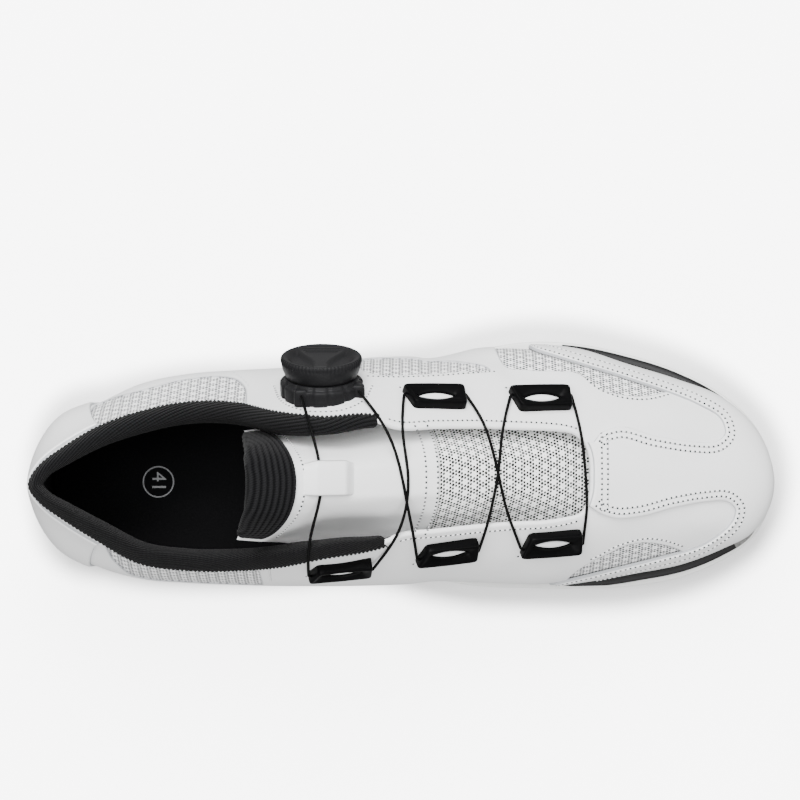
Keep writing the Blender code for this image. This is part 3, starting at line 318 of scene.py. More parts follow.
COLLAR_KNIT = ribbed_knit("black ribbed collar knit", 1.15, 17.0, "#131314", "#040404")
BAND_KNIT = ribbed_knit("black ribbed tongue band", 2.3, 0.0, "#161617", "#030304")
LINING_KNIT = ribbed_knit("black lining knit", 1.0, 17.0, "#0C0C0D", "#030303")
print("made:", COLLAR_KNIT.name + ",", BAND_KNIT.name, "and", LINING_KNIT.name)

# %% [markdown]
# The hard parts are simple by comparison. The guides and the dial are injection-moulded nylon: the
# guides came from a polished tool and the dial from an etched one, so the guides are glossier. The
# sole is white glass-filled nylon with a satin texture. Tread and side stripes are rubber. The
# footbed's top cloth is a fine black knit, and the cord has a smooth coat over its braid. Black
# pieces get a low index of refraction here too, so that they stay as deep as the real ones under
# lamps this large.
# %% Plastics, rubber, cloth and cord
STRAND_MM = 0.9
STRAND_DEPTH = 0.00002
CORD_IOR = 1.12


def moulded(name, base, fleck, roughness, texture_mm, depth_mm, ior=1.5):
    """Moulded plastic or rubber: one colour that varies a little, and the texture of its tool."""
    material, tree, inputs = new_material(name, roughness, ior)
    place = node(tree, "TexCoord", "Object")
    grain = node(tree, "TexNoise", 0, {"Vector": place, "Scale": per_mm(texture_mm), "Detail": 3.0})
    colour = node(tree, "Mix", 2, {0: grain, 6: linear(base), 7: linear(fleck)}, data_type="RGBA")
    dress(tree, inputs, colour, node(tree, "Bump", 0, {"Height": grain, "Distance": depth_mm / 1000}))
    return material


def braided(name):
    """Black cord: two sets of strands that cross at 45 degrees, under a smooth coat. The crowns are
    painted slightly lighter than the grooves between them, as painted highlight and painted shade.
    """
    material, tree, inputs = new_material(name, 0.5, CORD_IOR)
    place = node(tree, "UVMap", "UV", uv_map="surface")
    height = 0.0
    for angle in (45.0, -45.0):
        step = turns(STRAND_MM, angle)
        phase = node(tree, "VectorMath", "Value", {0: place, 1: step}, operation="DOT_PRODUCT")
        wave = node(tree, "Math", 0, {0: phase}, operation="SINE")
        height = node(tree, "Math", 0, {0: wave, 1: height}, operation="MAXIMUM")
    # Painted light: lighter on the strands' crowns, darker as painted shade in the grooves.
    colour = node(tree, "Mix", 2, {0: height, 6: linear("#050505"), 7: linear("#0A0A0A")}, data_type="RGBA")
    dress(tree, inputs, colour, node(tree, "Bump", 0, {"Height": height, "Distance": STRAND_DEPTH}))
    return material


GUIDE_NYLON = moulded("glossy black nylon", "#040405", "#080808", 0.32, 0.8, 0.006, 1.10)
DIAL_NYLON = moulded("etched black nylon", "#141415", "#1B1B1C", 0.42, 0.5, 0.02, 1.16)
SOLE_NYLON = moulded("white nylon", "#E4E4E2", "#DADBDA", 0.48, 0.6, 0.03)
STRIPE_RUBBER = moulded("black stripe rubber", "#070708", "#0E0E0F", 0.5, 0.7, 0.05, 1.3)
STRIPE_TIP = moulded("worn stripe rubber", "#2A2A2B", "#9A9A98", 0.6, 1.4, 0.1, 1.3)
TREAD_RUBBER = moulded("black tread rubber", "#161616", "#232323", 0.7, 0.6, 0.06)
FOOTBED_CLOTH = moulded("black footbed cloth", "#080809", "#0F0F10", 0.95, 0.7, 0.05, 1.15)
MARK_PRINT = moulded("grey print", "#828385", "#727375", 0.7, 0.5, 0.01)
THREAD = moulded("white polyester thread", "#ECECEB", "#DEDFE0", 0.6, 0.3, 0.01)
NEEDLE_HOLE_SHADOW = moulded("needle hole shadow", "#2E3033", "#242629", 0.9, 0.5, 0.01)
# An overlay's cut edge is grey partly by its own tone and partly as painted shade along its step.
EDGE_TONE_AND_SHADE = moulded("cut edge of leather and painted shade", "#AFB1B4", "#A2A4A7", 0.8, 0.5, 0.02)
CORD_COAT = braided("black coated cord")
print("materials:", len(bpy.data.materials))

# %% [markdown]
# Every soft surface of this shoe follows one form, the last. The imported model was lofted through 40
# ribs from a table, so the same table is used here and read far more finely. A rib starts at the
# feather edge, where the upper meets the sole, goes out to its widest point and up to the edge of
# the collar or of the throat. Sizes are shares of the length, of the width at the ball and of the
# height, which is how a last maker scales a pattern.
# %% The last's table
LENGTH = 0.278
BALL_WIDTH = 0.0945
INSTEP_HEIGHT = 0.088
HEEL_HEIGHT = 0.077
HEEL_STACK = 0.0165
HEEL_REST = 0.030
WALL = 0.0022
GAP = 0.0003
COLLAR_PAD = 0.0052
HEEL_RIBS = slice(14, 27)
RIB_COLUMNS = ("x", "y", "lip", "out", "bulge_z", "top_x", "top_y", "top_z", "slope", "pad")
RIBS = (
    # toe, towards the outer side
    (0.981, -0.010, 0.057, 0.028, 0.380, 0.748, 0.037, 0.659, 16, 0.0),
    (0.975, 0.102, 0.057, 0.026, 0.375, 0.748, 0.066, 0.658, 16, 0.0),
    (0.960, 0.192, 0.055, 0.025, 0.360, 0.747, 0.100, 0.657, 17, 0.0),
    (0.921, 0.304, 0.054, 0.021, 0.330, 0.742, 0.150, 0.654, 18, 0.0),
    # vamp and ball, outer side
    (0.865, 0.379, 0.067, 0.014, 0.290, 0.731, 0.190, 0.654, 24, 0.0),
    (0.800, 0.440, 0.069, 0.013, 0.255, 0.712, 0.212, 0.670, 30, 0.0),
    (0.734, 0.499, 0.051, 0.015, 0.245, 0.683, 0.221, 0.690, 34, 0.0),
    (0.669, 0.510, 0.046, 0.023, 0.255, 0.640, 0.226, 0.720, 36, 0.0),
    # waist and throat, outer side
    (0.604, 0.489, 0.036, 0.045, 0.285, 0.594, 0.231, 0.766, 38, 0.0),
    (0.540, 0.444, 0.030, 0.056, 0.307, 0.540, 0.231, 0.835, 42, 0.0),
    (0.489, 0.427, 0.024, 0.069, 0.330, 0.489, 0.232, 0.900, 48, 0.0),
    (0.471, 0.421, 0.024, 0.073, 0.335, 0.471, 0.250, 0.915, 52, 0.85),
    # instep, collar and quarter, outer side
    (0.392, 0.390, 0.022, 0.082, 0.352, 0.392, 0.250, 0.980, 64, 1.0),
    (0.342, 0.371, 0.022, 0.081, 0.364, 0.339, 0.268, 0.930, 70, 1.0),
    (0.281, 0.361, 0.022, 0.081, 0.416, 0.281, 0.307, 0.860, 78, 1.0),
    (0.216, 0.352, 0.022, 0.076, 0.416, 0.216, 0.308, 0.800, 78, 1.0),
    (0.155, 0.324, 0.024, 0.067, 0.416, 0.155, 0.272, 0.845, 80, 1.0),
    # counter, outer side
    (0.101, 0.270, 0.036, 0.050, 0.416, 0.104, 0.217, 0.905, 82, 0.9),
    (0.050, 0.212, 0.048, 0.044, 0.416, 0.059, 0.138, 0.955, 85, 0.7),
    (0.029, 0.111, 0.034, 0.048, 0.416, 0.031, 0.074, 0.985, 88, 0.5),
    # middle of the heel
    (0.022, 0.000, 0.026, 0.050, 0.416, 0.018, 0.003, 1.000, 88, 0.5),
    # counter, inner side
    (0.029, -0.111, 0.034, 0.048, 0.416, 0.031, -0.060, 0.990, 88, 0.5),
    (0.050, -0.217, 0.056, 0.044, 0.416, 0.059, -0.122, 0.970, 85, 0.7),
    (0.101, -0.286, 0.032, 0.053, 0.416, 0.104, -0.207, 0.930, 82, 0.9),
    # quarter, collar and instep, inner side
    (0.155, -0.321, 0.024, 0.061, 0.416, 0.155, -0.292, 0.880, 80, 1.0),
    (0.216, -0.330, 0.022, 0.066, 0.430, 0.216, -0.322, 0.840, 80, 1.0),
    (0.281, -0.333, 0.016, 0.070, 0.442, 0.281, -0.321, 0.900, 80, 1.0),
    (0.342, -0.328, 0.012, 0.077, 0.410, 0.342, -0.298, 0.930, 76, 1.0),
    (0.392, -0.312, 0.014, 0.093, 0.420, 0.392, -0.265, 1.000, 72, 1.0),
    # throat and waist, inner side
    (0.480, -0.316, 0.024, 0.086, 0.410, 0.480, -0.216, 0.910, 60, 0.85),
    (0.498, -0.322, 0.030, 0.079, 0.400, 0.498, -0.196, 0.895, 54, 0.0),
    (0.540, -0.343, 0.046, 0.052, 0.386, 0.540, -0.184, 0.845, 50, 0.0),
    (0.604, -0.371, 0.052, 0.032, 0.340, 0.597, -0.168, 0.770, 44, 0.0),
    # ball and vamp, inner side
    (0.673, -0.380, 0.051, 0.027, 0.295, 0.640, -0.159, 0.722, 40, 0.0),
    (0.741, -0.369, 0.064, 0.017, 0.255, 0.683, -0.154, 0.690, 36, 0.0),
    (0.810, -0.337, 0.086, 0.014, 0.255, 0.716, -0.138, 0.668, 30, 0.0),
    (0.875, -0.296, 0.088, 0.014, 0.290, 0.736, -0.116, 0.654, 24, 0.0),
    # toe, towards the inner side
    (0.924, -0.236, 0.082, 0.015, 0.330, 0.743, -0.074, 0.655, 18, 0.0),
    (0.958, -0.174, 0.066, 0.021, 0.360, 0.747, -0.030, 0.657, 17, 0.0),
    (0.976, -0.089, 0.057, 0.025, 0.375, 0.748, 0.005, 0.658, 16, 0.0),
)
SOLE_PROFILE = np.array([
    (0.00, 1.00, 0.26), (0.035, 1.00, 0.20), (0.20, 1.04, 0.20), (0.24, 1.09, 0.30), (0.33, 1.22, 0.55),
    (0.43, 1.21, 0.54), (0.53, 0.98, 0.28), (0.60, 0.80, 0.00), (0.66, 0.70, 0.00), (0.76, 0.66, 0.00),
    (0.83, 0.76, 0.10), (0.90, 0.98, 0.38), (1.00, 1.36, 0.88),
])


def along(share):
    """A distance from the origin, from a share of the length counted from the back of the heel."""
    return np.asarray(share) * LENGTH - HEEL_REST


def across(share):
    """A sideways distance, from a share of the width at the ball."""
    return np.asarray(share) * BALL_WIDTH


def ease(t):
    """Goes from 0 to 1 as t does, and starts and ends level: t * t * (3 - 2 t)."""
    t = np.clip(t, 0.0, 1.0)
    return t * t * (3 - 2 * t)


def hermite(start, leave, end, arrive, t):
    """The cubic that leaves start at one speed and arrives at end at another, as t goes 0 to 1."""
    return (
        start * (1 + 2 * t) * (1 - t) ** 2 + leave * t * (1 - t) ** 2
        + end * t * t * (3 - 2 * t) + arrive * t * t * (t - 1)
    )


def flow(knots, values, at):
    """Values between knots, on cubic curves that never swing past a knot."""
    knots, values = np.asarray(knots, float), np.asarray(values, float)
    at = np.clip(np.asarray(at, float), knots[0], knots[-1])
    step = np.diff(knots)
    rise = np.diff(values) / step
    same_way = rise[:-1] * rise[1:] > 0
    weight_a, weight_b = 2 * step[1:] + step[:-1], step[1:] + 2 * step[:-1]
    safe_a, safe_b = np.where(same_way, rise[:-1], 1.0), np.where(same_way, rise[1:], 1.0)
    slope = np.zeros(len(knots))
    slope[1:-1] = np.where(same_way, (weight_a + weight_b) / (weight_a / safe_a + weight_b / safe_b), 0.0)
    slope[0], slope[-1] = rise[0], rise[-1]
    span = np.clip(np.searchsorted(knots, at, side="right") - 1, 0, len(step) - 1)
    t = (at - knots[span]) / step[span]
    return hermite(values[span], slope[span] * step[span], values[span + 1], slope[span + 1] * step[span], t)


def walked_along(line):
    """Distance from a line's first point to each of its points, measured along it."""
    return np.concatenate([[0.0], np.cumsum(np.linalg.norm(np.diff(line, axis=0), axis=1))])


def smooth_line(points, samples):
    """An open smooth curve through points, sampled evenly along their chords."""
    points = np.asarray(points, float)
    distance = walked_along(points)
    at = np.linspace(0.0, distance[-1], samples)
    slope = np.gradient(points, distance, axis=0)
    span = np.clip(np.searchsorted(distance, at, side="right") - 1, 0, len(points) - 2)
    length = np.diff(distance)[span][:, None]
    t = (at - distance[span])[:, None] / length
    return hermite(points[span], slope[span] * length, points[span + 1], slope[span + 1] * length, t)


def sole_height(x, column):
    """Height of the sole's top (column 1) or bottom face (column 2) at distance x from the origin."""
    share = (np.asarray(x, float) + HEEL_REST) / LENGTH
    return flow(SOLE_PROFILE[:, 0], SOLE_PROFILE[:, column], share) * HEEL_STACK


print("ribs:", len(RIBS), "sole top at the heel:", round(float(sole_height(0.0, 1)), 4), "m")

# %% [markdown]
# The table turns into a surface of two parameters. The first, called at, is a rib number from 0 at
# the toe over 20 at the heel to 40, and any number between two ribs lies on a closed smooth curve
# through them. The second, called level, is -1 at the feather edge, 0 at the widest point and 1 at
# the top edge. Normals come from small steps in both parameters.
# %% The last as a surface
BULGE_PULL = 0.6
SIDE_PULL = 0.45
TOP_PULL = 0.38
HEIGHTS = np.full(len(RIBS), INSTEP_HEIGHT)
HEIGHTS[HEEL_RIBS] = HEEL_HEIGHT
TABLE = dict(zip(RIB_COLUMNS, np.array(RIBS, float).T))
RIB_ROWS = np.stack([
    along(TABLE["x"]), across(TABLE["y"]), across(TABLE["lip"]), across(TABLE["out"]),
    TABLE["bulge_z"] * HEIGHTS, along(TABLE["top_x"]), across(TABLE["top_y"]), TABLE["top_z"] * HEIGHTS,
    np.radians(TABLE["slope"]), TABLE["pad"] * COLLAR_PAD,
], axis=1)
RIB_GAPS = np.linalg.norm(np.roll(RIB_ROWS[:, :2], -1, axis=0) - RIB_ROWS[:, :2], axis=1)[:, None]
UP = np.array([0.0, 0.0, 1.0])


def unit(vectors):
    """Vectors drawn out or in to the length 1."""
    return vectors / np.maximum(np.linalg.norm(vectors, axis=-1, keepdims=True), 1e-12)


def between_ribs(rows, at):
    """Values on the closed smooth curve through the rows, at any rib number."""
    before = np.roll(RIB_GAPS, 1, axis=0)
    rise_after = (np.roll(rows, -1, axis=0) - rows) / RIB_GAPS
    rise_before = (rows - np.roll(rows, 1, axis=0)) / before
    slope = (rise_after * before + rise_before * RIB_GAPS) / (RIB_GAPS + before)
    start = np.floor(at).astype(int) % len(rows)
    end = (start + 1) % len(rows)
    t = (at - np.floor(at))[:, None]
    return hermite(rows[start], slope[start] * RIB_GAPS[start], rows[end], slope[end] * RIB_GAPS[start], t)


def ribs_at(at):
    """Feather, bulge and top points, the way out, and the lip, slope and pad at rib numbers."""
    at = np.asarray(at, float)
    x, y, lip, out, bulge_z, top_x, top_y, top_z, slope, pad = between_ribs(RIB_ROWS, at).T
    forward = unit(between_ribs(RIB_ROWS[:, :2], at + 0.5) - between_ribs(RIB_ROWS[:, :2], at - 0.5))
    way_out = np.stack([forward[:, 1], -forward[:, 0], np.zeros(len(at))], axis=1)
    feather = np.stack([x, y, sole_height(x, 1) + GAP], axis=1)
    bulge = feather + way_out * out[:, None]
    bulge[:, 2] = bulge_z
    return {
        "feather": feather, "bulge": bulge, "top": np.stack([top_x, top_y, top_z], axis=1),
        "way_out": way_out, "lip": lip, "out": out, "slope": slope, "pad": np.clip(pad, 0.0, None),
    }


def skin(at, level):
    """The upper's outer face. Below level 0 it is a quadratic curve from the feather edge to the
    bulge, and above 0 a cubic one that leaves the bulge upright and meets the top edge at its slope."""
    at, level = np.broadcast_arrays(np.asarray(at, float), np.asarray(level, float))
    ribs = ribs_at(at.ravel())
    feather, bulge, top = ribs["feather"], ribs["bulge"], ribs["top"]
    t = np.clip(level.ravel() + 1, 0.0, 1.0)[:, None]
    low_pull = bulge - UP * (bulge[:, 2:] - feather[:, 2:]) * BULGE_PULL
    lower = feather * (1 - t) ** 2 + low_pull * 2 * t * (1 - t) + bulge * t * t
    inward = top - bulge
    flat = unit(inward * np.array([1.0, 1.0, 0.0]))
    slope = ribs["slope"][:, None]
    arrive = (flat * np.cos(slope) + UP * np.sin(slope)) * np.linalg.norm(inward, axis=1)[:, None]
    s = np.clip(level.ravel(), 0.0, 1.0)[:, None]
    side = bulge + UP * SIDE_PULL * inward[:, 2:]
    under_top = top - arrive * TOP_PULL
    upper = bulge * (1 - s) ** 3 + 3 * side * s * (1 - s) ** 2 + 3 * under_top * s * s * (1 - s) + top * s**3
    return np.where(level.ravel()[:, None] < 0, lower, upper).reshape(at.shape + (3,))


def skin_normal(at, level):
    """Outward unit normals: the cross product of small steps round and up. Level at the feather edge."""
    at, level = np.broadcast_arrays(np.asarray(at, float), np.asarray(level, float))
    step_at, step_level = 0.05, 0.01
    round_step = skin(at + step_at, level) - skin(at - step_at, level)
    up_step = skin(at, np.minimum(level + step_level, 1.0)) - skin(at, np.maximum(level - step_level, -1.0))
    free = unit(np.cross(round_step, up_step))
    way_out = ribs_at(at.ravel())["way_out"].reshape(at.shape + (3,))
    share = np.clip((level[..., None] + 1) / 0.5, 0.0, 1.0)
    return unit(way_out * (1 - share) + free * share)


def even_ats(first, last, count, closed=False):
    """Rib numbers whose points on the widest line are about evenly spaced."""
    fine = np.linspace(first, last, 1600)
    walked = walked_along(skin(fine, 0.0))
    wanted = np.linspace(0.0, walked[-1], count, endpoint=not closed)
    return np.interp(wanted, walked, fine)


toe_point, heel_point = skin(np.array([0.0, 20.0]), 0.0)
print("last from", heel_point.round(4), "to", toe_point.round(4))

# %% [markdown]
# A few helpers turn arrays into pieces. A grid of points becomes quads, closed round one axis or
# both where the form is a ring. A piece may carry its surface coordinates, which run in metres along
# its two directions so that a knit keeps its size, and named values at its points.
# %% Helpers for pieces
def full_turn(count):
    """Angles all round a circle, as many as count."""
    return np.linspace(0.0, 2 * math.pi, count, endpoint=False)


def quads(rows, columns, closed_rows=False, closed_columns=False):
    """Faces of a grid, and for each corner its row and column counted on past the seam."""
    i, j = np.meshgrid(
        np.arange(rows - (not closed_rows)), np.arange(columns - (not closed_columns)), indexing="ij"
    )
    corner_i = np.stack([i, i + 1, i + 1, i], axis=-1).reshape(-1, 4)
    corner_j = np.stack([j, j, j + 1, j + 1], axis=-1).reshape(-1, 4)
    return (corner_i % rows) * columns + corner_j % columns, corner_i, corner_j


def baked_mesh(item):
    """The mesh that an object shows with its modifiers applied."""
    return bpy.data.meshes.new_from_object(item.evaluated_get(bpy.context.evaluated_depsgraph_get()))


def fill_values(data, key, values):
    """Writes an array of floats into a layer of a mesh."""
    data.foreach_set(key, np.asarray(values, np.float32).ravel())


def piece(name, points, faces, material, stands_for=(), corner_uv=None, marks=None, weld=False,
          paint=None):
    """One object at the origin, with its place in its mesh. weld joins points that coincide and
    turns the faces of a closed form outwards. paint gives each face the number of its material."""
    mesh = bpy.data.meshes.new(name)
    faces = faces.tolist() if isinstance(faces, np.ndarray) else faces
    mesh.from_pydata(np.asarray(points).reshape(-1, 3).tolist(), [], faces)
    if corner_uv is not None:
        fill_values(mesh.uv_layers.new(name="surface").data, "uv", corner_uv)
    for key, values in (marks or {}).items():
        fill_values(mesh.attributes.new(key, "FLOAT", "POINT").data, "value", values)
    if paint is not None:
        mesh.polygons.foreach_set("material_index", np.asarray(paint, np.int32))
    if weld:
        shell = bmesh.new()
        shell.from_mesh(mesh)
        bmesh.ops.remove_doubles(shell, verts=shell.verts, dist=1e-6)
        bmesh.ops.dissolve_degenerate(shell, edges=shell.edges, dist=1e-7)
        bmesh.ops.recalc_face_normals(shell, faces=shell.faces)
        shell.to_mesh(mesh)
        shell.free()
    mesh.shade_smooth()
    made = new_object(name, mesh)
    for item in material if isinstance(material, (list, tuple)) else [material]:
        mesh.materials.append(item)
    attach(made, "root")
    if stands_for:
        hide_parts(*stands_for)
    return made


def grid_uv(grid, closed_rows=False, closed_columns=False):
    """Surface coordinates of a grid: distance walked along its rows and along its columns."""
    wide = np.concatenate([grid, grid[:1]]) if closed_rows else grid
    wide = np.concatenate([wide, wide[:, :1]], axis=1) if closed_columns else wide
    u = np.zeros(wide.shape[:2])
    v = np.zeros(wide.shape[:2])
    u[1:] = np.cumsum(np.linalg.norm(np.diff(wide, axis=0), axis=2), axis=0)
    v[:, 1:] = np.cumsum(np.linalg.norm(np.diff(wide, axis=1), axis=2), axis=1)
    return np.stack([u, v], axis=2)


def grid_piece(name, grid, material, stands_for=(), weld=True, paint=None, measured=None):
    """A piece from rings of points, with surface coordinates on every corner. They are lengths on
    the grid itself, or on a plainer grid that is given as measured. paint is a function from a
    face's row to the number of its material."""
    faces, corner_i, corner_j = quads(*grid.shape[:2], False, True)
    uv = grid_uv(grid if measured is None else measured, False, True)[corner_i, corner_j]
    painted = None if paint is None else paint(corner_i[:, 0])
    return piece(name, grid, faces, material, stands_for, corner_uv=uv, weld=weld, paint=painted)


def slab_faces(loop_count, count):
    """Faces of a solid between its first and last loop, which rungs from side to side close."""
    index = np.arange(loop_count * count).reshape(loop_count, count)
    faces = quads(loop_count, count, False, True)[0].tolist()
    for loop in (index[0], index[-1]):
        for k in range(count // 2):
            rung = [loop[k], loop[k + 1], loop[(count - k - 1) % count], loop[(count - k) % count]]
            faces.append(list(dict.fromkeys(rung)))
    return [[int(corner) for corner in face] for face in faces]


print("helpers for pieces ready")

# %% [markdown]
# The sole is one moulding of stiff nylon, and everything stands on it. Its top face carries a lip
# that shows all round the upper, with a step below it. The section is a short list of rows, each
# with an offset from the feather edge and a height, and it is carried round the feather line. The
# corners have real radii, because a moulded edge is never sharp.
# %% Sole
LIP_HEIGHT = 0.0032
LIP_RADIUS = 0.0009
LIP_FOOT_RADIUS = 0.0005
SIDE_STEP = 0.0012
SIDE_DRAFT = 0.0006
EDGE_ROUNDING = 0.0016
HALF_LOOP = 300
CLEAT_HOLE_RADIUS = 0.0025
CLEAT_HOLE_DEPTH = 0.0050
CLEAT_FRONT = (0.735, 0.065)
CLEAT_BASE = 0.050
CLEAT_TRIANGLE_HEIGHT = 0.032


def half_even_ats(count):
    """Rib numbers round the shoe with as many steps on the outer side as on the inner side."""
    return np.concatenate([even_ats(0.0, 20.0, count, True), even_ats(20.0, 40.0, count, True)])


def loops_round(ribs, rows):
    """Loops round the shoe, each at an offset from the feather edge and a height."""
    loops = []
    for offset, height in rows:
        reach = np.broadcast_to(offset, ribs["lip"].shape)[:, None]
        loop = ribs["feather"] + ribs["way_out"] * reach
        loop[:, 2] = height
        loops.append(loop)
    return np.array(loops)


def quarter_turn(offset, height, radius, first, last, steps=5):
    """Rows on an arc about (offset, height), from one angle to another, in degrees from outwards."""
    return [
        (offset + radius * math.cos(math.radians(a)), height + radius * math.sin(math.radians(a)))
        for a in np.linspace(first, last, steps)
    ]


SOLE_AT = half_even_ats(HALF_LOOP)
SOLE_RIBS = ribs_at(SOLE_AT)
sole_x = SOLE_RIBS["feather"][:, 0]
sole_top, sole_bottom = sole_height(sole_x, 1), sole_height(sole_x, 2)
lip = SOLE_RIBS["lip"]
side_in = lip - SIDE_STEP - SIDE_DRAFT
sole_rows = [(-WALL * 1.5, sole_top), (lip * 0.3 - 0.001, sole_top)]
sole_rows += quarter_turn(lip - LIP_RADIUS, sole_top - LIP_RADIUS, LIP_RADIUS, 90, 0)
sole_rows += quarter_turn(
    lip - LIP_FOOT_RADIUS, sole_top - LIP_HEIGHT + LIP_FOOT_RADIUS, LIP_FOOT_RADIUS, 0, -70, 4
)
sole_rows += [(lip - SIDE_STEP * 0.6, sole_top - LIP_HEIGHT - SIDE_STEP * 0.1)]
sole_rows += [(lip - SIDE_STEP, sole_top - LIP_HEIGHT - SIDE_STEP * 0.45)]
for share in (0.3, 0.65):
    low = sole_bottom + EDGE_ROUNDING
    high = sole_top - LIP_HEIGHT - SIDE_STEP * 0.6
    sole_rows += [(lip - SIDE_STEP - SIDE_DRAFT * share, high * (1 - share) + low * share)]
sole_rows += quarter_turn(side_in - EDGE_ROUNDING, sole_bottom + EDGE_ROUNDING, EDGE_ROUNDING, 0, -90, 5)
sole_rows += [(side_in - EDGE_ROUNDING - 0.002, sole_bottom)]
sole_loops = loops_round(SOLE_RIBS, sole_rows)
sole_faces = slab_faces(len(sole_loops), 2 * HALF_LOOP)
outsole = piece("sole_plate", sole_loops, sole_faces, SOLE_NYLON, ["outsole"], weld=True)


def drilled(target, places):
    """Cuts round holes up into a piece, by a boolean modifier that is applied at once."""
    for x, y in places:
        cutter = bpy.data.meshes.new("drill")
        shape = bmesh.new()
        bmesh.ops.create_cone(
            shape, cap_ends=True, segments=32, radius1=CLEAT_HOLE_RADIUS, radius2=CLEAT_HOLE_RADIUS,
            depth=2 * CLEAT_HOLE_DEPTH, matrix=Matrix.Translation((x, y, 0.0)),
        )
        shape.to_mesh(cutter)
        shape.free()
        drill = new_object("drill", cutter)
        cut = target.modifiers.new("drill", "BOOLEAN")
        cut.object, cut.operation, cut.solver = drill, "DIFFERENCE", "EXACT"
        mesh = baked_mesh(target)
        target.modifiers.clear()
        target.data = mesh
        bpy.data.objects.remove(drill)


cleat_x, cleat_y = float(along(CLEAT_FRONT[0])), float(across(CLEAT_FRONT[1]))
cleat_places = [(cleat_x, cleat_y)]
for side in (CLEAT_BASE / 2, -CLEAT_BASE / 2):
    cleat_places.append((cleat_x - CLEAT_TRIANGLE_HEIGHT, cleat_y + side))
drilled(outsole, cleat_places)
print("sole:", len(outsole.data.polygons), "faces")

# %% [markdown]
# Two thin strips of black rubber lie in the angle between toe cap and lip, where a toe scuffs
# first. Each is a small rounded section carried round the toe, thin at its ends.
# %% Side stripes
STRIPE_WIDTH = 0.0034
STRIPE_HEIGHT = 0.0022
STRIPE_UNDERCUT = 0.6
STRIPE_MARGIN = 0.0003
STRIPE_TIP_ROWS = 24
STRIPE_CORNERS = (
    # share of the width, share of the height
    (0, 0), (0.5, 0), (0.97, 0.02), (1, 0.12), (0.98, 0.4), (0.88, 0.62), (0.6, 0.85), (0.3, 1), (0, 1.05),
)
TOE_CAP_THICKNESS = 0.0011
LIP_CHAMFER = 0.0006


def side_stripe(name, first, last):
    """Section: rounded corners, from the cap's foot outwards. It follows the feather edge, and its
    tip towards the toe is worn grey."""
    at = even_ats(first, last, 160)
    ribs = ribs_at(at)
    out = ribs["out"]
    start = out * STRIPE_UNDERCUT + TOE_CAP_THICKNESS + 2 * GAP
    ends = np.abs(np.linspace(-1.0, 1.0, len(at))) ** 4
    room = ribs["lip"] - LIP_CHAMFER - STRIPE_MARGIN - start
    width = np.minimum(out * (1 - STRIPE_UNDERCUT) + STRIPE_WIDTH * (1.0 - 0.8 * ends), room)
    height = STRIPE_HEIGHT * (1.0 - 0.6 * ends)
    ring = []
    for a, b in STRIPE_CORNERS:
        point = ribs["feather"] + ribs["way_out"] * (start + width * a)[:, None]
        point[:, 2] += height * b - GAP * 0.8
        ring.append(point)
    grid = np.stack(ring, axis=1)
    middle = grid.mean(axis=1, keepdims=True)
    tips = np.repeat(middle[[0, -1]], grid.shape[1], axis=1)
    grid = np.concatenate([tips[:1], grid, tips[1:]])

    def worn(row):
        """1 in the rows nearest to the toe, which are the grey ones."""
        from_toe = row if first < 20 else len(grid) - 1 - row
        return (from_toe < STRIPE_TIP_ROWS).astype(int)

    return grid_piece(name + "_strip", grid, [STRIPE_RUBBER, STRIPE_TIP], [name], paint=worn)


side_stripe("stripe_outer", 2.4, 6.3)
side_stripe("stripe_inner", 33.65, 38.35)
heel_tread = bpy.data.objects["heel_tread"]
heel_tread.material_slots[0].material = TREAD_RUBBER
print("stripes:", 2)

# %% [markdown]
# The footbed is a foam sole with a black top cloth. It is flat in the middle and cups upwards at its
# border, most at the heel. Rings between its middle line and its border give that cup.
# %% Footbed
INSOLE_THICKNESS = 0.0030
INSOLE_TUCK = 0.0003
INSOLE_CUP = 0.0028
CUP_STARTS = 0.55
CUP_IN_FRONT = 0.3
HEEL_CUP_ENDS = 0.55
BORDER_STARTS, BORDER_DROP = 0.94, 0.0006
half_at = even_ats(0.0, 20.0, 200)
border_out, border_in = (
    ribs["feather"] - ribs["way_out"] * (WALL - INSOLE_TUCK)
    for ribs in (ribs_at(half_at), ribs_at(40.0 - half_at))
)
middle_line = (border_out + border_in) / 2
shares = np.linspace(-1.0, 1.0, 61)
reach = np.abs(shares)[None, :, None]
side_border = np.where(shares[None, :, None] > 0, border_out[:, None, :], border_in[:, None, :])
bed = middle_line[:, None, :] * (1 - reach) + side_border * reach
heel_share = 1 - ease((bed[:, :, 0] + HEEL_REST) / (HEEL_CUP_ENDS * LENGTH))
rise = INSOLE_CUP * ease((reach[:, :, 0] - CUP_STARTS) / (1 - CUP_STARTS))
rise = rise * (CUP_IN_FRONT + (1 - CUP_IN_FRONT) * heel_share)
top = bed.copy()
top[:, :, 2] += INSOLE_THICKNESS + rise
top[:, :, 2] -= BORDER_DROP * ease((reach[:, :, 0] - BORDER_STARTS) / (1 - BORDER_STARTS))
footbed_grid = np.concatenate([top, bed[:, -2:0:-1]], axis=1)
footbed = grid_piece("footbed", footbed_grid, FOOTBED_CLOTH, ["insole"])
print("footbed:", len(footbed.data.polygons), "faces")

# %% [markdown]
# The size is printed on the footbed, the number 41 in a ring. The number is a text turned into a
# mesh, with its digits' tops towards the toe, and both lie a tenth of a millimetre above the cloth.
# %% Size mark
MARK_PLACE = (0.0167, -0.0002)
MARK_RADIUS = 0.0057
MARK_LINE = 0.00055
MARK_DIGITS = 0.0076
MARK_LIFT = 0.00012
ABOVE = 0.300


def search_tree(grid, closed=False):
    """A tree that finds where rays meet a grid. closed joins the last row to the first."""
    faces = quads(*grid.shape[:2], closed)[0]
    return BVHTree.FromPolygons(grid.reshape(-1, 3).tolist(), faces.tolist())


def met_below(tree, x, y):
    """Place and normal where a ray straight down meets a surface. Both are None where it misses."""
    return tree.ray_cast(Vector((x, y, ABOVE)), Vector((0, 0, -1)))[:2]


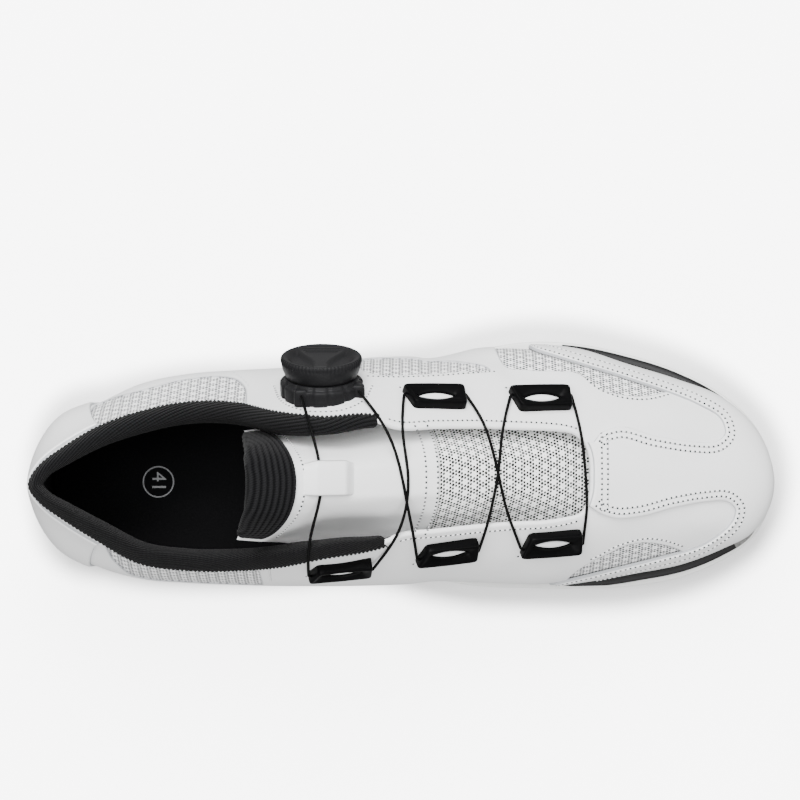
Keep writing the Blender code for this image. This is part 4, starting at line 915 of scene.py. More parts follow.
def on_footbed(plan, lift):
    """Plan points at their height on the footbed, moved up by lift."""
    hits = [met_below(footbed_tree, x, y)[0] for x, y in plan]
    return np.array([(hit.x, hit.y, hit.z + lift) for hit in hits])


def ring_mark():
    """The printed ring: a flat band whose two edges slope down to the cloth."""
    turn = full_turn(72)
    loops = []
    for radius, lift in ((-0.5, 0.0), (-0.35, 1.0), (0.35, 1.0), (0.5, 0.0)):
        reach = MARK_RADIUS + radius * MARK_LINE
        plan = np.column_stack([MARK_PLACE[0] + reach * np.cos(turn), MARK_PLACE[1] + reach * np.sin(turn)])
        loops.append(on_footbed(plan, MARK_LIFT * lift))
    return grid_piece("size_ring", np.array(loops)[::-1], MARK_PRINT, weld=False)


def number_mark():
    """The printed number, turned to face the toe."""
    text = bpy.data.curves.new("size_number", "FONT")
    text.body = "41"
    text.align_x = text.align_y = "CENTER"
    text.size = MARK_DIGITS
    text.extrude = MARK_LIFT / 2
    helper = new_object("size_helper", text)
    mesh = baked_mesh(helper)
    bpy.data.objects.remove(helper)
    x, y, z = on_footbed([MARK_PLACE], MARK_LIFT)[0]
    mesh.transform(Matrix(((0, 1, 0, x), (-1, 0, 0, y), (0, 0, 1, z), (0, 0, 0, 1))))
    made = new_object("size_number", mesh)
    mesh.materials.clear()
    mesh.materials.append(MARK_PRINT)
    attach(made, "root")
    return made


footbed_tree = search_tree(top)
ring_mark()
number_mark()
print("size mark at", MARK_PLACE)

# %% [markdown]
# Seams and panel edges need to be crisp, and they cross the loft's grid at all angles. The usual
# answer, a much finer grid, wastes faces. Here each point knows its distance from a line, and a cut
# splits just those triangles that the line crosses, so that the line becomes edges of the mesh.
# Cutting at a few distances beside a line gives rows of points for a fold, a step or a groove.
# %% Cutting a surface along a line
def line_distance(places, line):
    """Distance from each place to an open line in the same plane."""
    places, line = np.asarray(places, float), np.asarray(line, float)
    nearest = np.full(len(places), np.inf)
    for start, end in zip(line[:-1], line[1:]):
        edge = end - start
        t = np.clip(((places - start) @ edge) / max(edge @ edge, 1e-18), 0.0, 1.0)
        nearest = np.minimum(nearest, np.linalg.norm(places - start - t[:, None] * edge, axis=1))
    return nearest


def inside_distance(places, outline):
    """Distance from each place to a closed outline in the same plane, positive inside it."""
    places, outline = np.asarray(places, float), np.asarray(outline, float)
    nearest = line_distance(places, np.concatenate([outline, outline[:1]]))
    crossings = np.zeros(len(places), int)
    for (ax, ay), (bx, by) in zip(outline, np.roll(outline, -1, axis=0)):
        spans = (ay > places[:, 1]) != (by > places[:, 1])
        with np.errstate(divide="ignore", invalid="ignore"):
            crossings += spans & (places[:, 0] < (bx - ax) * (places[:, 1] - ay) / (by - ay) + ax)
    return np.where(crossings % 2 == 1, nearest, -nearest)


def cut_along(points, triangles, fields, key, level):
    """Splits each triangle that the line 'fields[key] = level' crosses. A new point lies where the
    value is level on an edge, and all its other values are blended in the same share."""
    value = fields[key] - level
    value = np.where(np.abs(value) < 1e-6, 1e-6, value)
    above = value[triangles] > 0
    count = above.sum(axis=1)
    crossed = (count == 1) | (count == 2)
    kept, split = triangles[~crossed], triangles[crossed]
    lone = np.argmax(above[crossed] == (count[crossed] == 1)[:, None], axis=1)
    rows = np.arange(len(split))
    a, b, c = (split[rows, (lone + k) % 3] for k in range(3))
    pairs = np.sort(np.concatenate([np.stack([a, b], axis=1), np.stack([a, c], axis=1)]), axis=1)
    edges, which = np.unique(pairs, axis=0, return_inverse=True)
    which = which.ravel() + len(points)
    p, q = which[: len(split)], which[len(split) :]
    share = value[edges[:, 0]] / (value[edges[:, 0]] - value[edges[:, 1]])

    def blended(values):
        """The values at all points, followed by those at the new ones."""
        weight = share.reshape((-1,) + (1,) * (values.ndim - 1))
        return np.concatenate([values, values[edges[:, 0]] * (1 - weight) + values[edges[:, 1]] * weight])

    new_fields = {name: blended(values) for name, values in fields.items()}
    new_fields[key][len(points) :] = level
    new_triangles = np.concatenate(
        [kept, np.stack([a, p, q], axis=1), np.stack([p, b, c], axis=1), np.stack([p, c, q], axis=1)]
    )
    return blended(points), new_triangles, new_fields


def keep_where(points, triangles, fields, wanted):
    """Drops the triangles for which wanted is False, and the points that none uses any more."""
    triangles = triangles[wanted]
    used, triangles = np.unique(triangles, return_inverse=True)
    return points[used], triangles.reshape(-1, 3), {key: values[used] for key, values in fields.items()}


def skin_patch(at, level, closed=False):
    """Points, triangles and fields of a piece of the last's surface on a grid of parameters."""
    grid_at, grid_level = np.meshgrid(at, level, indexing="ij")
    faces = quads(len(at), len(level), closed)[0]
    triangles = np.concatenate([faces[:, [0, 1, 2]], faces[:, [0, 2, 3]]])
    fields = {"normal": skin_normal(grid_at, grid_level).reshape(-1, 3), "level": grid_level.ravel()}
    return skin(grid_at, grid_level).reshape(-1, 3), triangles, fields


def border_skirt(points, triangles, drop):
    """Closes a patch downwards: each border edge gets a wall to the same edge moved by drop."""
    edges = np.concatenate([triangles[:, [0, 1]], triangles[:, [1, 2]], triangles[:, [2, 0]]])
    key = np.sort(edges, axis=1)
    _, first, counts = np.unique(key, axis=0, return_index=True, return_counts=True)
    border = edges[first[counts == 1]]
    ring, index = np.unique(border, return_inverse=True)
    index = index.reshape(-1, 2) + len(points)
    lower = points[ring] + drop[ring]
    (a, b), (c, d) = border.T, index.T
    walls = np.concatenate([np.stack([b, a, c], axis=1), np.stack([b, c, d], axis=1)])
    return np.concatenate([points, lower]), np.concatenate([triangles, walls]), ring


print("cutting helpers ready")

# %% [markdown]
# The upper is one wall with an outer face, a rounded top edge and an inner face. Two things shape
# the outer face. Soft troughs and ridges, which a lasted, empty upper shows, are listed as short
# lines with a width and a depth. Fields of mesh lie lower than the leather around them, by the
# leather's thickness, and a few seams run as grooves. The outlines are drawn in plan, and a
# distance in plan is divided by its slope along the skin, so that it holds on steep walls too.
# %% Upper: fields, seams and creases
ROUND_STEPS = 640
UPPER_LEVELS = np.concatenate([np.linspace(-1.0, 0.0, 9)[:-1], np.linspace(0.0, 1.0, 62)])
UPPER_SHAPE = (ROUND_STEPS, len(UPPER_LEVELS))
KNIT_SCALE = 0.8
FIELD_CORNER = 0.009
THROAT_ENDS = (10.8, 29.2)
LINING_STARTS = (14, 5)
FIELD_DEPTH = 0.0007
FIELD_EDGE = 0.00028
SEAM_DEPTH = 0.0004
SEAM_WIDTH = 0.0006
FIELDS = (
    # lowest height, curved part of the plan outline, corners that close it outside (mm): first the
    # two at the ball, then the one at the midfoot, then the two in the quarters
    (0, ((141.5, 58), (143.2, 50), (146.6, 44.2), (155.5, 42.4), (166.6, 41.7), (173.3, 40.7),
         (176.2, 38.9), (179, 36.5), (184.1, 33.9), (191.5, 32.4), (199.1, 32.3), (206.7, 33.9)),
     ((230, 44), (230, 70), (141.5, 70))),
    (0, ((167, -48), (171, -35), (175.9, -30.7), (179.8, -28.4), (184.2, -26.3), (189.9, -23.4),
         (197.3, -22.0), (203.4, -22.7), (209.7, -24.5), (217, -29)),
     ((217, -60), (167, -60))),
    (34, ((94, 41.5), (100.3, 39.8), (113.4, 40.1), (122.2, 40.5), (129.6, 41.2), (140.5, 42.2),
          (139.4, 43.2), (131.2, 45.3), (122.4, 46.9), (108, 48.0), (95, 47.6), (91.5, 44.5)), ()),
    (30, ((-5.6, 20), (-6.2, 25), (-5.4, 28.4), (-1, 30.6), (11.9, 34.3), (30.1, 38.7), (41.2, 39.5),
          (48.1, 37.9), (51, 35), (51.9, 30.2), (52, 24)), ((30, 10),)),
    (40, ((2.5, -14), (1.2, -21), (2.5, -27), (7, -33), (12, -50)),
     ((54, -50), (57.0, -40), (57.2, -36), (56.8, -31), (55.5, -27), (52, -18))),
)
SEAMS = (
    # plan line in mm and lowest height in mm
    (((58.6, -24), (58.8, -30), (58.9, -36), (58.6, -44)), 20),
    (((52.8, 24), (53.0, 30), (52.4, 35.4), (49.6, 38.6), (46, 41), (44, 46)), 20),
    (((63.3, 36.0), (65.5, 31.3), (71.9, 28.6), (79.8, 27.8), (88.0, 28.9), (94.0, 32.0), (96.0, 36.0)), 40),
)
CREASES = (
    # x and y of the start, middle and end (m), half width and depth (m). A ridge has a minus depth.
    ((0.118, 0.046), (0.132, 0.047), (0.146, 0.045), 0.0035, 0.0009),
    ((0.150, 0.041), (0.163, 0.038), (0.172, 0.033), 0.0050, 0.0010),
    ((0.120, -0.034), (0.135, -0.036), (0.150, -0.035), 0.0050, 0.0008),
    ((0.186, 0.018), (0.199, 0.014), (0.212, 0.013), 0.0040, -0.0004),
    ((0.186, -0.012), (0.199, -0.009), (0.212, -0.006), 0.0040, -0.0004),
)


def creased(points, normal):
    """Moves points along their normals by -depth * exp(-(distance / width) ** 2) for each crease."""
    for start, middle, end, width, depth in CREASES:
        line = smooth_line([start, middle, end], 12)
        near = line_distance(points[:, :2], line)
        points = points - normal * (depth * np.exp(-((near / width) ** 2)))[:, None]
    return points


def along_skin(distance, points):
    """Divides a distance by the length of its gradient on the surface, found from the grid's steps."""
    d, p = distance.reshape(UPPER_SHAPE), points.reshape(*UPPER_SHAPE, 3)
    du = (np.roll(d, -1, axis=0) - np.roll(d, 1, axis=0)) / 2
    pu = (np.roll(p, -1, axis=0) - np.roll(p, 1, axis=0)) / 2
    dv, pv = np.gradient(d, axis=1), np.gradient(p, axis=1)
    uu, vv, uv = (pu * pu).sum(axis=2), (pv * pv).sum(axis=2), (pu * pv).sum(axis=2)
    square = (vv * du**2 - 2 * uv * du * dv + uu * dv**2) / np.maximum(uu * vv - uv**2, 1e-18)
    slope = np.sqrt(np.maximum(square, 0.0))
    return (d / np.clip(slope, 0.12, 1.0)).ravel()


def soft_minimum(a, b, radius):
    """The lesser of two distances, with the corner between them rounded."""
    share = np.clip(0.5 + 0.5 * (b - a) / radius, 0.0, 1.0)
    return b + (a - b) * share - radius * share * (1 - share)


def field_outline(curved, corners):
    """A field's closed outline in metres: its curve, then the corners that close it."""
    return np.concatenate([smooth_line(curved, 60), np.array(corners).reshape(-1, 2)]) / 1000


upper_at = even_ats(0.0, 40.0, ROUND_STEPS, True)
points, triangles, fields = skin_patch(upper_at, UPPER_LEVELS, True)
in_field = np.full(len(points), -1.0)
for lowest, curved, corners in FIELDS:
    beside = inside_distance(points[:, :2], field_outline(curved, corners))
    distance = soft_minimum(beside, points[:, 2] - lowest / 1000, FIELD_CORNER)
    in_field = np.maximum(in_field, along_skin(distance, points))
seam_near = np.full(len(points), 1.0)
for line, lowest in SEAMS:
    near = along_skin(line_distance(points[:, :2], smooth_line(line, 40) / 1000), points)
    seam_near = np.minimum(seam_near, np.where(points[:, 2] > lowest / 1000, near, 1.0))
fields["field"], fields["seam"] = in_field, seam_near
knit_v = KNIT_SCALE * (np.abs(points[:, 1:2]) - points[:, 2:3])
fields["uv"] = np.concatenate([points[:, :1], knit_v], axis=1)
plain_grid = creased(points, fields["normal"])
outer_grid = plain_grid.reshape(*UPPER_SHAPE, 3)
normal_grid = fields["normal"].reshape(*UPPER_SHAPE, 3)
print("share of the skin that is mesh:", round(float((in_field > 0).mean()), 3))

# %% Upper: the wall
RIM_RISE = 0.45
edge_up = unit(outer_grid[:, -1] - outer_grid[:, -2])
rim = [outer_grid[:, -1]]
for angle in np.linspace(0, 180, 9)[1:-1]:
    turn = math.radians(angle)
    inwards = normal_grid[:, -1] * WALL / 2 * (1 - math.cos(turn))
    rim.append(outer_grid[:, -1] - inwards + edge_up * WALL * RIM_RISE * math.sin(turn))
inner_grid = outer_grid[:, ::-3] - normal_grid[:, ::-3] * WALL
wall_grid = np.concatenate([np.stack(rim, axis=1), inner_grid, outer_grid[:, :1]], axis=1)
wall_faces, wall_i, wall_j = quads(*wall_grid.shape[:2], True)
wall_uv = grid_uv(wall_grid, True)[wall_i, wall_j]

points = plain_grid
for offset in (-1.0, -0.3, 0.3, 1.0):
    points, triangles, fields = cut_along(points, triangles, fields, "field", offset * FIELD_EDGE)
for offset in (0.25, 1.0):
    points, triangles, fields = cut_along(points, triangles, fields, "seam", offset * SEAM_WIDTH)
lower = FIELD_DEPTH * ease((fields["field"] / FIELD_EDGE + 1) / 2)
lower = lower + SEAM_DEPTH * (1 - ease(fields["seam"] / SEAM_WIDTH))
fade = ease((1.0 - fields["level"]) / 0.02) * ease((fields["level"] + 1.0) / 0.2)
points = points - unit(fields["normal"]) * (lower * fade)[:, None]
first = len(points)
all_points = np.concatenate([points, wall_grid.reshape(-1, 3)])
all_faces = triangles.tolist() + (wall_faces + first).tolist()
all_uv = np.concatenate([fields["uv"][triangles].reshape(-1, 2), wall_uv.reshape(-1, 2)])
marks = {
    "field_mm": np.concatenate([fields["field"] * 1000, np.full(wall_grid.size // 3, -9.0)]),
    "seam_mm": np.concatenate([fields["seam"] * 1000, np.full(wall_grid.size // 3, 9.0)]),
}
beside_throat = (upper_at[wall_i[:, 0]] < THROAT_ENDS[0]) | (upper_at[wall_i[:, 0]] > THROAT_ENDS[1])
lined = wall_j[:, 0] >= np.where(beside_throat, *LINING_STARTS)
paint = np.concatenate([np.zeros(len(triangles), int), lined.astype(int)])
upper = piece("upper_shell", all_points, all_faces, [FIELD_LEATHER, LINING_KNIT], ["upper"],
              corner_uv=all_uv, marks=marks, weld=True, paint=paint)
print("upper:", len(upper.data.polygons), "faces")

# %% [markdown]
# The toe cap is a tougher overlay, cut with two windows through which the quarters show, and joined
# by a bridge in front of the throat. It is the last's own surface, moved out by its thickness, cut
# along the windows' outlines and rounded at its edge.
# Its cut edge is painted grey, partly the raw edge's own tone and partly painted shade along the step.
# %% Toe cap
SHEET_ROUNDING = 0.0009
EDGE_SHARE = 0.12
WINDOW_OUTER = (
    (0.748, 0.161), (0.764, 0.205), (0.780, 0.217), (0.833, 0.183), (0.887, 0.160), (0.909, 0.158),
    (0.923, 0.180), (0.925, 0.222), (0.919, 0.256), (0.890, 0.306), (0.812, 0.393), (0.706, 0.491),
    (0.674, 0.523), (0.658, 0.560),
)
WINDOW_INNER = (
    (0.742, -0.085), (0.762, -0.118), (0.782, -0.131), (0.806, -0.126), (0.860, -0.088),
    (0.901, -0.070), (0.923, -0.067), (0.937, -0.091), (0.938, -0.130), (0.917, -0.203),
    (0.890, -0.250), (0.840, -0.293), (0.760, -0.354), (0.680, -0.415), (0.650, -0.440),
)


def window_line(points, samples=90):
    """A window's edge in metres, as a smooth line."""
    line = smooth_line(points, samples)
    return np.stack([along(line[:, 0]), across(line[:, 1])], axis=1)


def cap_outline():
    """The cap in plan: round the toe, back along both windows and over the bridge between them."""
    outer, inner = window_line(WINDOW_OUTER), window_line(WINDOW_INNER)
    far, side, back = along(1.2), across(0.8), along(0.70)
    corners = [(outer[-1][0], side), (far, side), (far, -side), (inner[-1][0], -side)]
    bridge = [(back, inner[0][1]), (back, outer[0][1])]
    return np.concatenate([corners, inner[::-1], bridge, outer])


def overlay(name, at, distance, thickness):
    """A sheet over the skin where distance is positive. Near its edge its height follows a quarter
    circle: thickness * sqrt(1 - (1 - distance / rounding) ** 2)."""
    points, triangles, fields = skin_patch(at, UPPER_LEVELS)
    fields["distance"] = distance(points)
    points = creased(points, fields["normal"])
    for share in (0.0, EDGE_SHARE, 0.4, 1.0):
        points, triangles, fields = cut_along(points, triangles, fields, "distance", SHEET_ROUNDING * share)
    wanted = fields["distance"][triangles].mean(axis=1) > 0
    points, triangles, fields = keep_where(points, triangles, fields, wanted)
    near = np.clip(fields["distance"] / SHEET_ROUNDING, 0.0, 1.0)
    height = GAP + thickness * np.sqrt(np.maximum(1 - (1 - near) ** 2, 0.0))
    normal = unit(fields["normal"])
    points = points + normal * height[:, None]
    top_count = len(triangles)
    points, triangles, ring = border_skirt(points, triangles, -normal * (height[:, None] + GAP))
    near = np.concatenate([near, np.zeros(len(ring))])
    # The cut wall and the outermost strip of the rounding are painted grey: partly the raw edge's tone,
    # partly painted shade along the step.
    edge = (near[triangles].mean(axis=1) < EDGE_SHARE) | (np.arange(len(triangles)) >= top_count)
    paint = edge.astype(int)
    return piece(name + "_sheet", points, triangles, [CAP_LEATHER, EDGE_TONE_AND_SHADE], [name], paint=paint)


def cap_distance(points):
    """Distance into the toe cap, in plan."""
    return inside_distance(points[:, :2], cap_outline())


cap = overlay("toe_cap", even_ats(-7.2, 7.2, 380), cap_distance, TOE_CAP_THICKNESS)
print("toe cap:", len(cap.data.polygons), "faces")

# %% [markdown]
# The heel counter is the same kind of overlay. Its outline is drawn from the side: a curved front
# edge and a straight top below the collar.
# %% Heel counter
COUNTER_THICKNESS = 0.0010
COUNTER_TOP_BACK = 0.960
COUNTER_FRONT = (
    (0.104, 0.85), (0.096, 0.76), (0.088, 0.64), (0.084, 0.50), (0.088, 0.36), (0.108, 0.26), (0.140, 0.10),
)


def counter_distance(points):
    """Distance into the heel counter, seen from the side."""
    line = smooth_line(COUNTER_FRONT, 60)
    outline = [(float(along(x)), z * HEEL_HEIGHT) for x, z in line]
    far = float(along(-0.2))
    outline += [(far, outline[-1][1]), (far, COUNTER_TOP_BACK * HEEL_HEIGHT)]
    return inside_distance(points[:, [0, 2]], outline)


counter = overlay("heel_counter", even_ats(15.5, 24.5, 300), counter_distance, COUNTER_THICKNESS)
print("heel counter:", len(counter.data.polygons), "faces")

# %% [markdown]
# The collar is a roll of foam under black ribbed knit. It starts at the leather's top edge, swells
# over the rim and runs down the inner wall, and it ends in a blunt round tip on each side of the
# throat. The section is a closed smooth ring round the rim's own middle, carried along the top edge.
# Where the knit meets the leather, its cut loops make a scalloped edge with one loop every 1.6 mm.
# %% Collar padding
COLLAR_SECTION = (
    # depth below the skin as a share of the padded wall, and height above the top edge in metres
    (0.02, -0.0030), (-0.03, -0.0004), (0.02, 0.0016), (0.18, 0.0034), (0.42, 0.0044), (0.68, 0.0038),
    (0.90, 0.0018), (1.04, -0.0012),
)
COLLAR_INSIDE = (
    # level on the last, depth as a share of the padding
    (0.86, 1.06), (0.74, 1.04), (0.62, 0.96), (0.52, 0.80), (0.44, 0.55), (0.38, 0.36),
)
COLLAR_BACK = (0.38, 0.55, 0.75, 0.92)
COLLAR_TAPER = 0.042
COLLAR_TIP = 0.0035
RING_POINTS = 56
LOOP_PITCH = 0.0016
LOOP_REACH = 0.0008
LOOP_BULGE = 0.45
collar_at = even_ats(10.75, 29.25, 1100)
collar_ribs = ribs_at(collar_at)


def collar_ring(loop_reach):
    """Closed sections: over the rim from COLLAR_SECTION, then down along the inner wall and back.
    The first rows lie on the leather, and there the cut loops reach down and outwards."""
    top, normal = skin(collar_at, 1.0), skin_normal(collar_at, 1.0)
    walked = walked_along(top)
    full = ease(np.minimum(walked, walked[-1] - walked) / COLLAR_TAPER)
    pad = np.maximum(collar_ribs["pad"], COLLAR_PAD * 0.45) * (0.30 + 0.70 * full)
    depth = WALL + pad
    upward = unit(top - skin(collar_at, 0.97))
    loops = loop_reach * np.abs(np.sin(np.pi * walked / LOOP_PITCH))
    rows = []
    for share, height in COLLAR_SECTION:
        reach = loops * (share < 0.03 and height < 0)
        lift = height * depth / (WALL + COLLAR_PAD) - reach
        rows.append(top - normal * (depth * share - reach * LOOP_BULGE)[:, None] + upward * lift[:, None])
    inside = [(level, WALL * 0.9 + (pad + 0.0002) * share) for level, share in COLLAR_INSIDE]
    for level, inwards in inside + [(level, np.full(len(pad), WALL * 0.55)) for level in COLLAR_BACK]:
        rows.append(skin(collar_at, level) - skin_normal(collar_at, level) * inwards[:, None])
    return np.stack(rows, axis=1)


def smooth_ring(rings, count):
    """Closed Hermite curves through the points of each ring, resampled to count points."""
    following = np.roll(rings, -1, axis=1)
    slope = (following - np.roll(rings, 1, axis=1)) / 2
    place = np.linspace(0.0, rings.shape[1], count, endpoint=False)
    start = np.floor(place).astype(int)
    end = (start + 1) % rings.shape[1]
    t = (place - start)[None, :, None]
    return hermite(rings[:, start], slope[:, start], rings[:, end], slope[:, end], t)


def rounded_ends(rings, length):
    """Draws each ring towards its middle near both ends, on a quarter circle."""
    middle = rings.mean(axis=1, keepdims=True)
    walked = walked_along(middle[:, 0])
    near = np.clip(np.minimum(walked, walked[-1] - walked) / length, 0.0, 1.0)
    size = np.sqrt(np.maximum(1 - (1 - near) ** 2, 0.0))[:, None, None]
    return middle + (rings - middle) * size


plain_collar, collar_grid = (
    rounded_ends(smooth_ring(collar_ring(reach), RING_POINTS), COLLAR_TIP) for reach in (0.0, LOOP_REACH)
)
collar = grid_piece("collar_padding", collar_grid, COLLAR_KNIT, measured=plain_collar)
print("collar padding:", len(collar.data.polygons), "faces")

# %% [markdown]
# The tongue is a padded sheet under the throat. Its form comes from a crown line with a drop to
# each side, held under the upper's inner face where the two would meet. That makes a coarse grid,
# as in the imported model, and a smooth surface through the coarse grid gives the cloth.
# %% Tongue form
TONGUE_THICKNESS = 0.0042
TONGUE_CLEARANCE = 0.0011
TONGUE = np.array([
    # x, crown y, crown z, reach to the outer side, reach to the inner side, drop of the sides
    (0.800, 0.030, 0.590, 0.200, 0.200, 0.015), (0.748, 0.030, 0.626, 0.235, 0.225, 0.030),
    (0.710, 0.030, 0.668, 0.248, 0.232, 0.055), (0.648, 0.030, 0.738, 0.248, 0.232, 0.095),
    (0.594, 0.028, 0.810, 0.250, 0.235, 0.140), (0.540, 0.026, 0.884, 0.250, 0.245, 0.190),
    (0.486, 0.022, 0.960, 0.245, 0.252, 0.220), (0.432, 0.018, 1.032, 0.232, 0.255, 0.240),
    (0.385, 0.018, 1.094, 0.224, 0.252, 0.230), (0.350, 0.018, 1.145, 0.218, 0.245, 0.200),
    (0.315, 0.018, 1.195, 0.208, 0.232, 0.180),
])
TONGUE_ROUNDING = 2.6
TONGUE_COLUMNS = 91
SIDE_HARDNESS, END_HARDNESS = 5.0, 14.0
BELOW_VAMP = 0.030


def spread(grid, combine):
    """Combines each value of a grid with its eight neighbours."""
    wide = np.pad(grid, 1, mode="edge")
    rows, columns = grid.shape
    return combine([wide[i : i + rows, j : j + columns] for i in range(3) for j in range(3)])


def tongue_grid():
    """Crown point plus a sideways reach, minus drop * |share| ** 2.6 square to the crown line."""
    count = 2 * len(TONGUE) - 1
    knots = np.arange(len(TONGUE))
    at = np.linspace(0, len(TONGUE) - 1, count)
    x = np.interp(at, knots, along(TONGUE[:, 0]))
    y = flow(knots, across(TONGUE[:, 1]), at)
    z = flow(knots, TONGUE[:, 2] * INSTEP_HEIGHT, at)
    outer, inner = flow(knots, across(TONGUE[:, 3]), at), flow(knots, across(TONGUE[:, 4]), at)
    drop = flow(knots, TONGUE[:, 5] * INSTEP_HEIGHT, at)
    down = unit(np.stack([np.gradient(z), np.zeros(count), -np.gradient(x)], axis=1))
    down *= np.sign(-down[:, 2:3])
    share = np.linspace(-1.0, 1.0, 17)
    reach = np.where(share[None, :] > 0, outer[:, None], inner[:, None])
    fall = drop[:, None] * np.abs(share) ** TONGUE_ROUNDING
    grid = np.stack([x, y, z], axis=1)[:, None, :] + down[:, None, :] * fall[:, :, None]
    grid[:, :, 1] += reach * share
    padded = WALL + ribs_at(upper_at)["pad"][:, None] * ease((UPPER_LEVELS - 0.30) / 0.60)
    ceiling = search_tree(outer_grid - normal_grid * padded[:, :, None], True)
    starts = [Vector((px, py, BELOW_VAMP)) for px, py, _ in grid.reshape(-1, 3)]
    hits = [ceiling.ray_cast(start, Vector((0, 0, 1)))[0] for start in starts]
    limit = np.array([9.0 if hit is None else hit.z for hit in hits]).reshape(grid.shape[:2])
    height = np.minimum(grid[:, :, 2], limit - TONGUE_CLEARANCE)
    lowest = spread(height, np.minimum.reduce)
    held = height < grid[:, :, 2] - GAP
    near = spread(spread(held, np.maximum.reduce), np.maximum.reduce)
    grid[:, :, 2] = spread(np.where(near, lowest, height), lambda nine: np.mean(nine, axis=0))
    return grid


def smooth_axis(grid, place):
    """Hermite curves through a grid along its first axis, at fractional rows."""
    slope = np.gradient(grid, axis=0)
    start = np.clip(np.floor(place).astype(int), 0, len(grid) - 2)
    t = (place - start)[:, None, None]
    return hermite(grid[start], slope[start], grid[start + 1], slope[start + 1], t)


TONGUE_COARSE = tongue_grid()


def tongue_surface(rows, shares):
    """The tongue's upper face. rows: 0 under the vamp to 1 at the free end. shares: -1 to 1 across."""
    count, columns = TONGUE_COARSE.shape[:2]
    lengthways = smooth_axis(TONGUE_COARSE, np.asarray(rows) * (count - 1))
    both = smooth_axis(lengthways.transpose(1, 0, 2), (np.asarray(shares) + 1) / 2 * (columns - 1))
    return both.transpose(1, 0, 2)


def grid_normals(grid):
    """Unit normals of a grid that faces upwards."""
    normal = unit(np.cross(np.gradient(grid, axis=1), np.gradient(grid, axis=0)))
    return normal * np.sign(normal[:, :, 2:3])


def faded(share, hardness):
    """1 in the middle and 0 where share is -1 or 1, on the curve (1 - |share| ** hardness) ** 0.5."""
    return np.sqrt(np.maximum(1 - np.abs(share) ** hardness, 0.0))


def pad_rings(middle, half):
    """Rings of a closed pad that lies half above and half below a middle surface."""
    return np.concatenate([middle + half, (middle - half)[:, -2:0:-1]], axis=1)


def tongue_pillow(rows, lift):
    """A closed pad under the tongue's upper face, thinned to nothing at its border all round."""
    shares = -np.cos(np.linspace(0.0, math.pi, TONGUE_COLUMNS))
    top = tongue_surface(rows, shares)
    normal = grid_normals(top)
    across_part = faded(shares, SIDE_HARDNESS)[None, :, None]
    length_part = faded(np.linspace(-1.0, 1.0, len(rows)), END_HARDNESS)[:, None, None]
    half = normal * TONGUE_THICKNESS / 2 * across_part * length_part
    return pad_rings(top + normal * (lift - TONGUE_THICKNESS / 2), half)


print("tongue rows:", len(TONGUE_COARSE))

# %% [markdown]
# The tongue's outer cloth is in two parts. White synthetic leather covers the part that the cord
# presses on, and star-patterned mesh lies in front of it. The leather's edge is a step half a
# millimetre high, so the rows of the pad are set close together there.
# %% Tongue pad
TONGUE_SEAM = 0.487
SEAM_STEP = 0.0005
ROWS_AT_SEAM = TONGUE_SEAM + np.array([-0.0045, -0.002, 0.0, 0.002, 0.0045])
even_rows = 0.5 - 0.5 * np.cos(np.linspace(0.0, math.pi, 170))
tongue_rows = np.sort(np.concatenate([even_rows, ROWS_AT_SEAM]))
tongue_lift = (-SEAM_STEP * (1 - ease((tongue_rows - TONGUE_SEAM + 0.002) / 0.0055)))[:, None, None]
seam_row = int(np.searchsorted(tongue_rows, TONGUE_SEAM))
tongue = grid_piece(
    "tongue_pad", tongue_pillow(tongue_rows, tongue_lift), [WHITE_LEATHER, WHITE_MESH], ["tongue"],
    paint=lambda row: (row < seam_row).astype(int),
)
print("tongue:", len(tongue.data.polygons), "faces")

# %% [markdown]
# The free end of the tongue is wrapped in a band of ribbed knit that runs over the end and under it.
# Its section starts flush on top, follows the tongue, turns round the end on a half circle and comes
# back below. Real ribs are added to it, one every 2.3 mm, because they catch the light.
# %% Tongue band
BAND_WIDTH_SHARE = 0.93
BAND_FRONT = (0.857, 0.070, 2.2)  # share of the tongue's length, how far it bends back, power
BAND_LIFT = 0.0005
BAND_EDGE = 0.0003
BAND_TURN_ROWS = 20
BAND_BACK_ROWS = 90
BAND_RIB = 0.0023
BAND_RIB_HEIGHT = 0.0007
TONGUE_FINE = tongue_surface(np.linspace(0, 1, 240), np.linspace(-1, 1, 161))
TONGUE_FINE_NORMAL = grid_normals(TONGUE_FINE)


def sampled(grid, rows, shares):
    """Values of a grid between its points, blended from the four around."""
    a = np.clip(rows, 0, 1) * (grid.shape[0] - 1)
    b = (np.clip(shares, -1, 1) + 1) / 2 * (grid.shape[1] - 1)
    i, j = np.minimum(a.astype(int), grid.shape[0] - 2), np.minimum(b.astype(int), grid.shape[1] - 2)
    s, t = (a - i)[..., None], (b - j)[..., None]
    near, far = (grid[i, k] * (1 - s) + grid[i + 1, k] * s for k in (j, j + 1))
    return near * (1 - t) + far * t


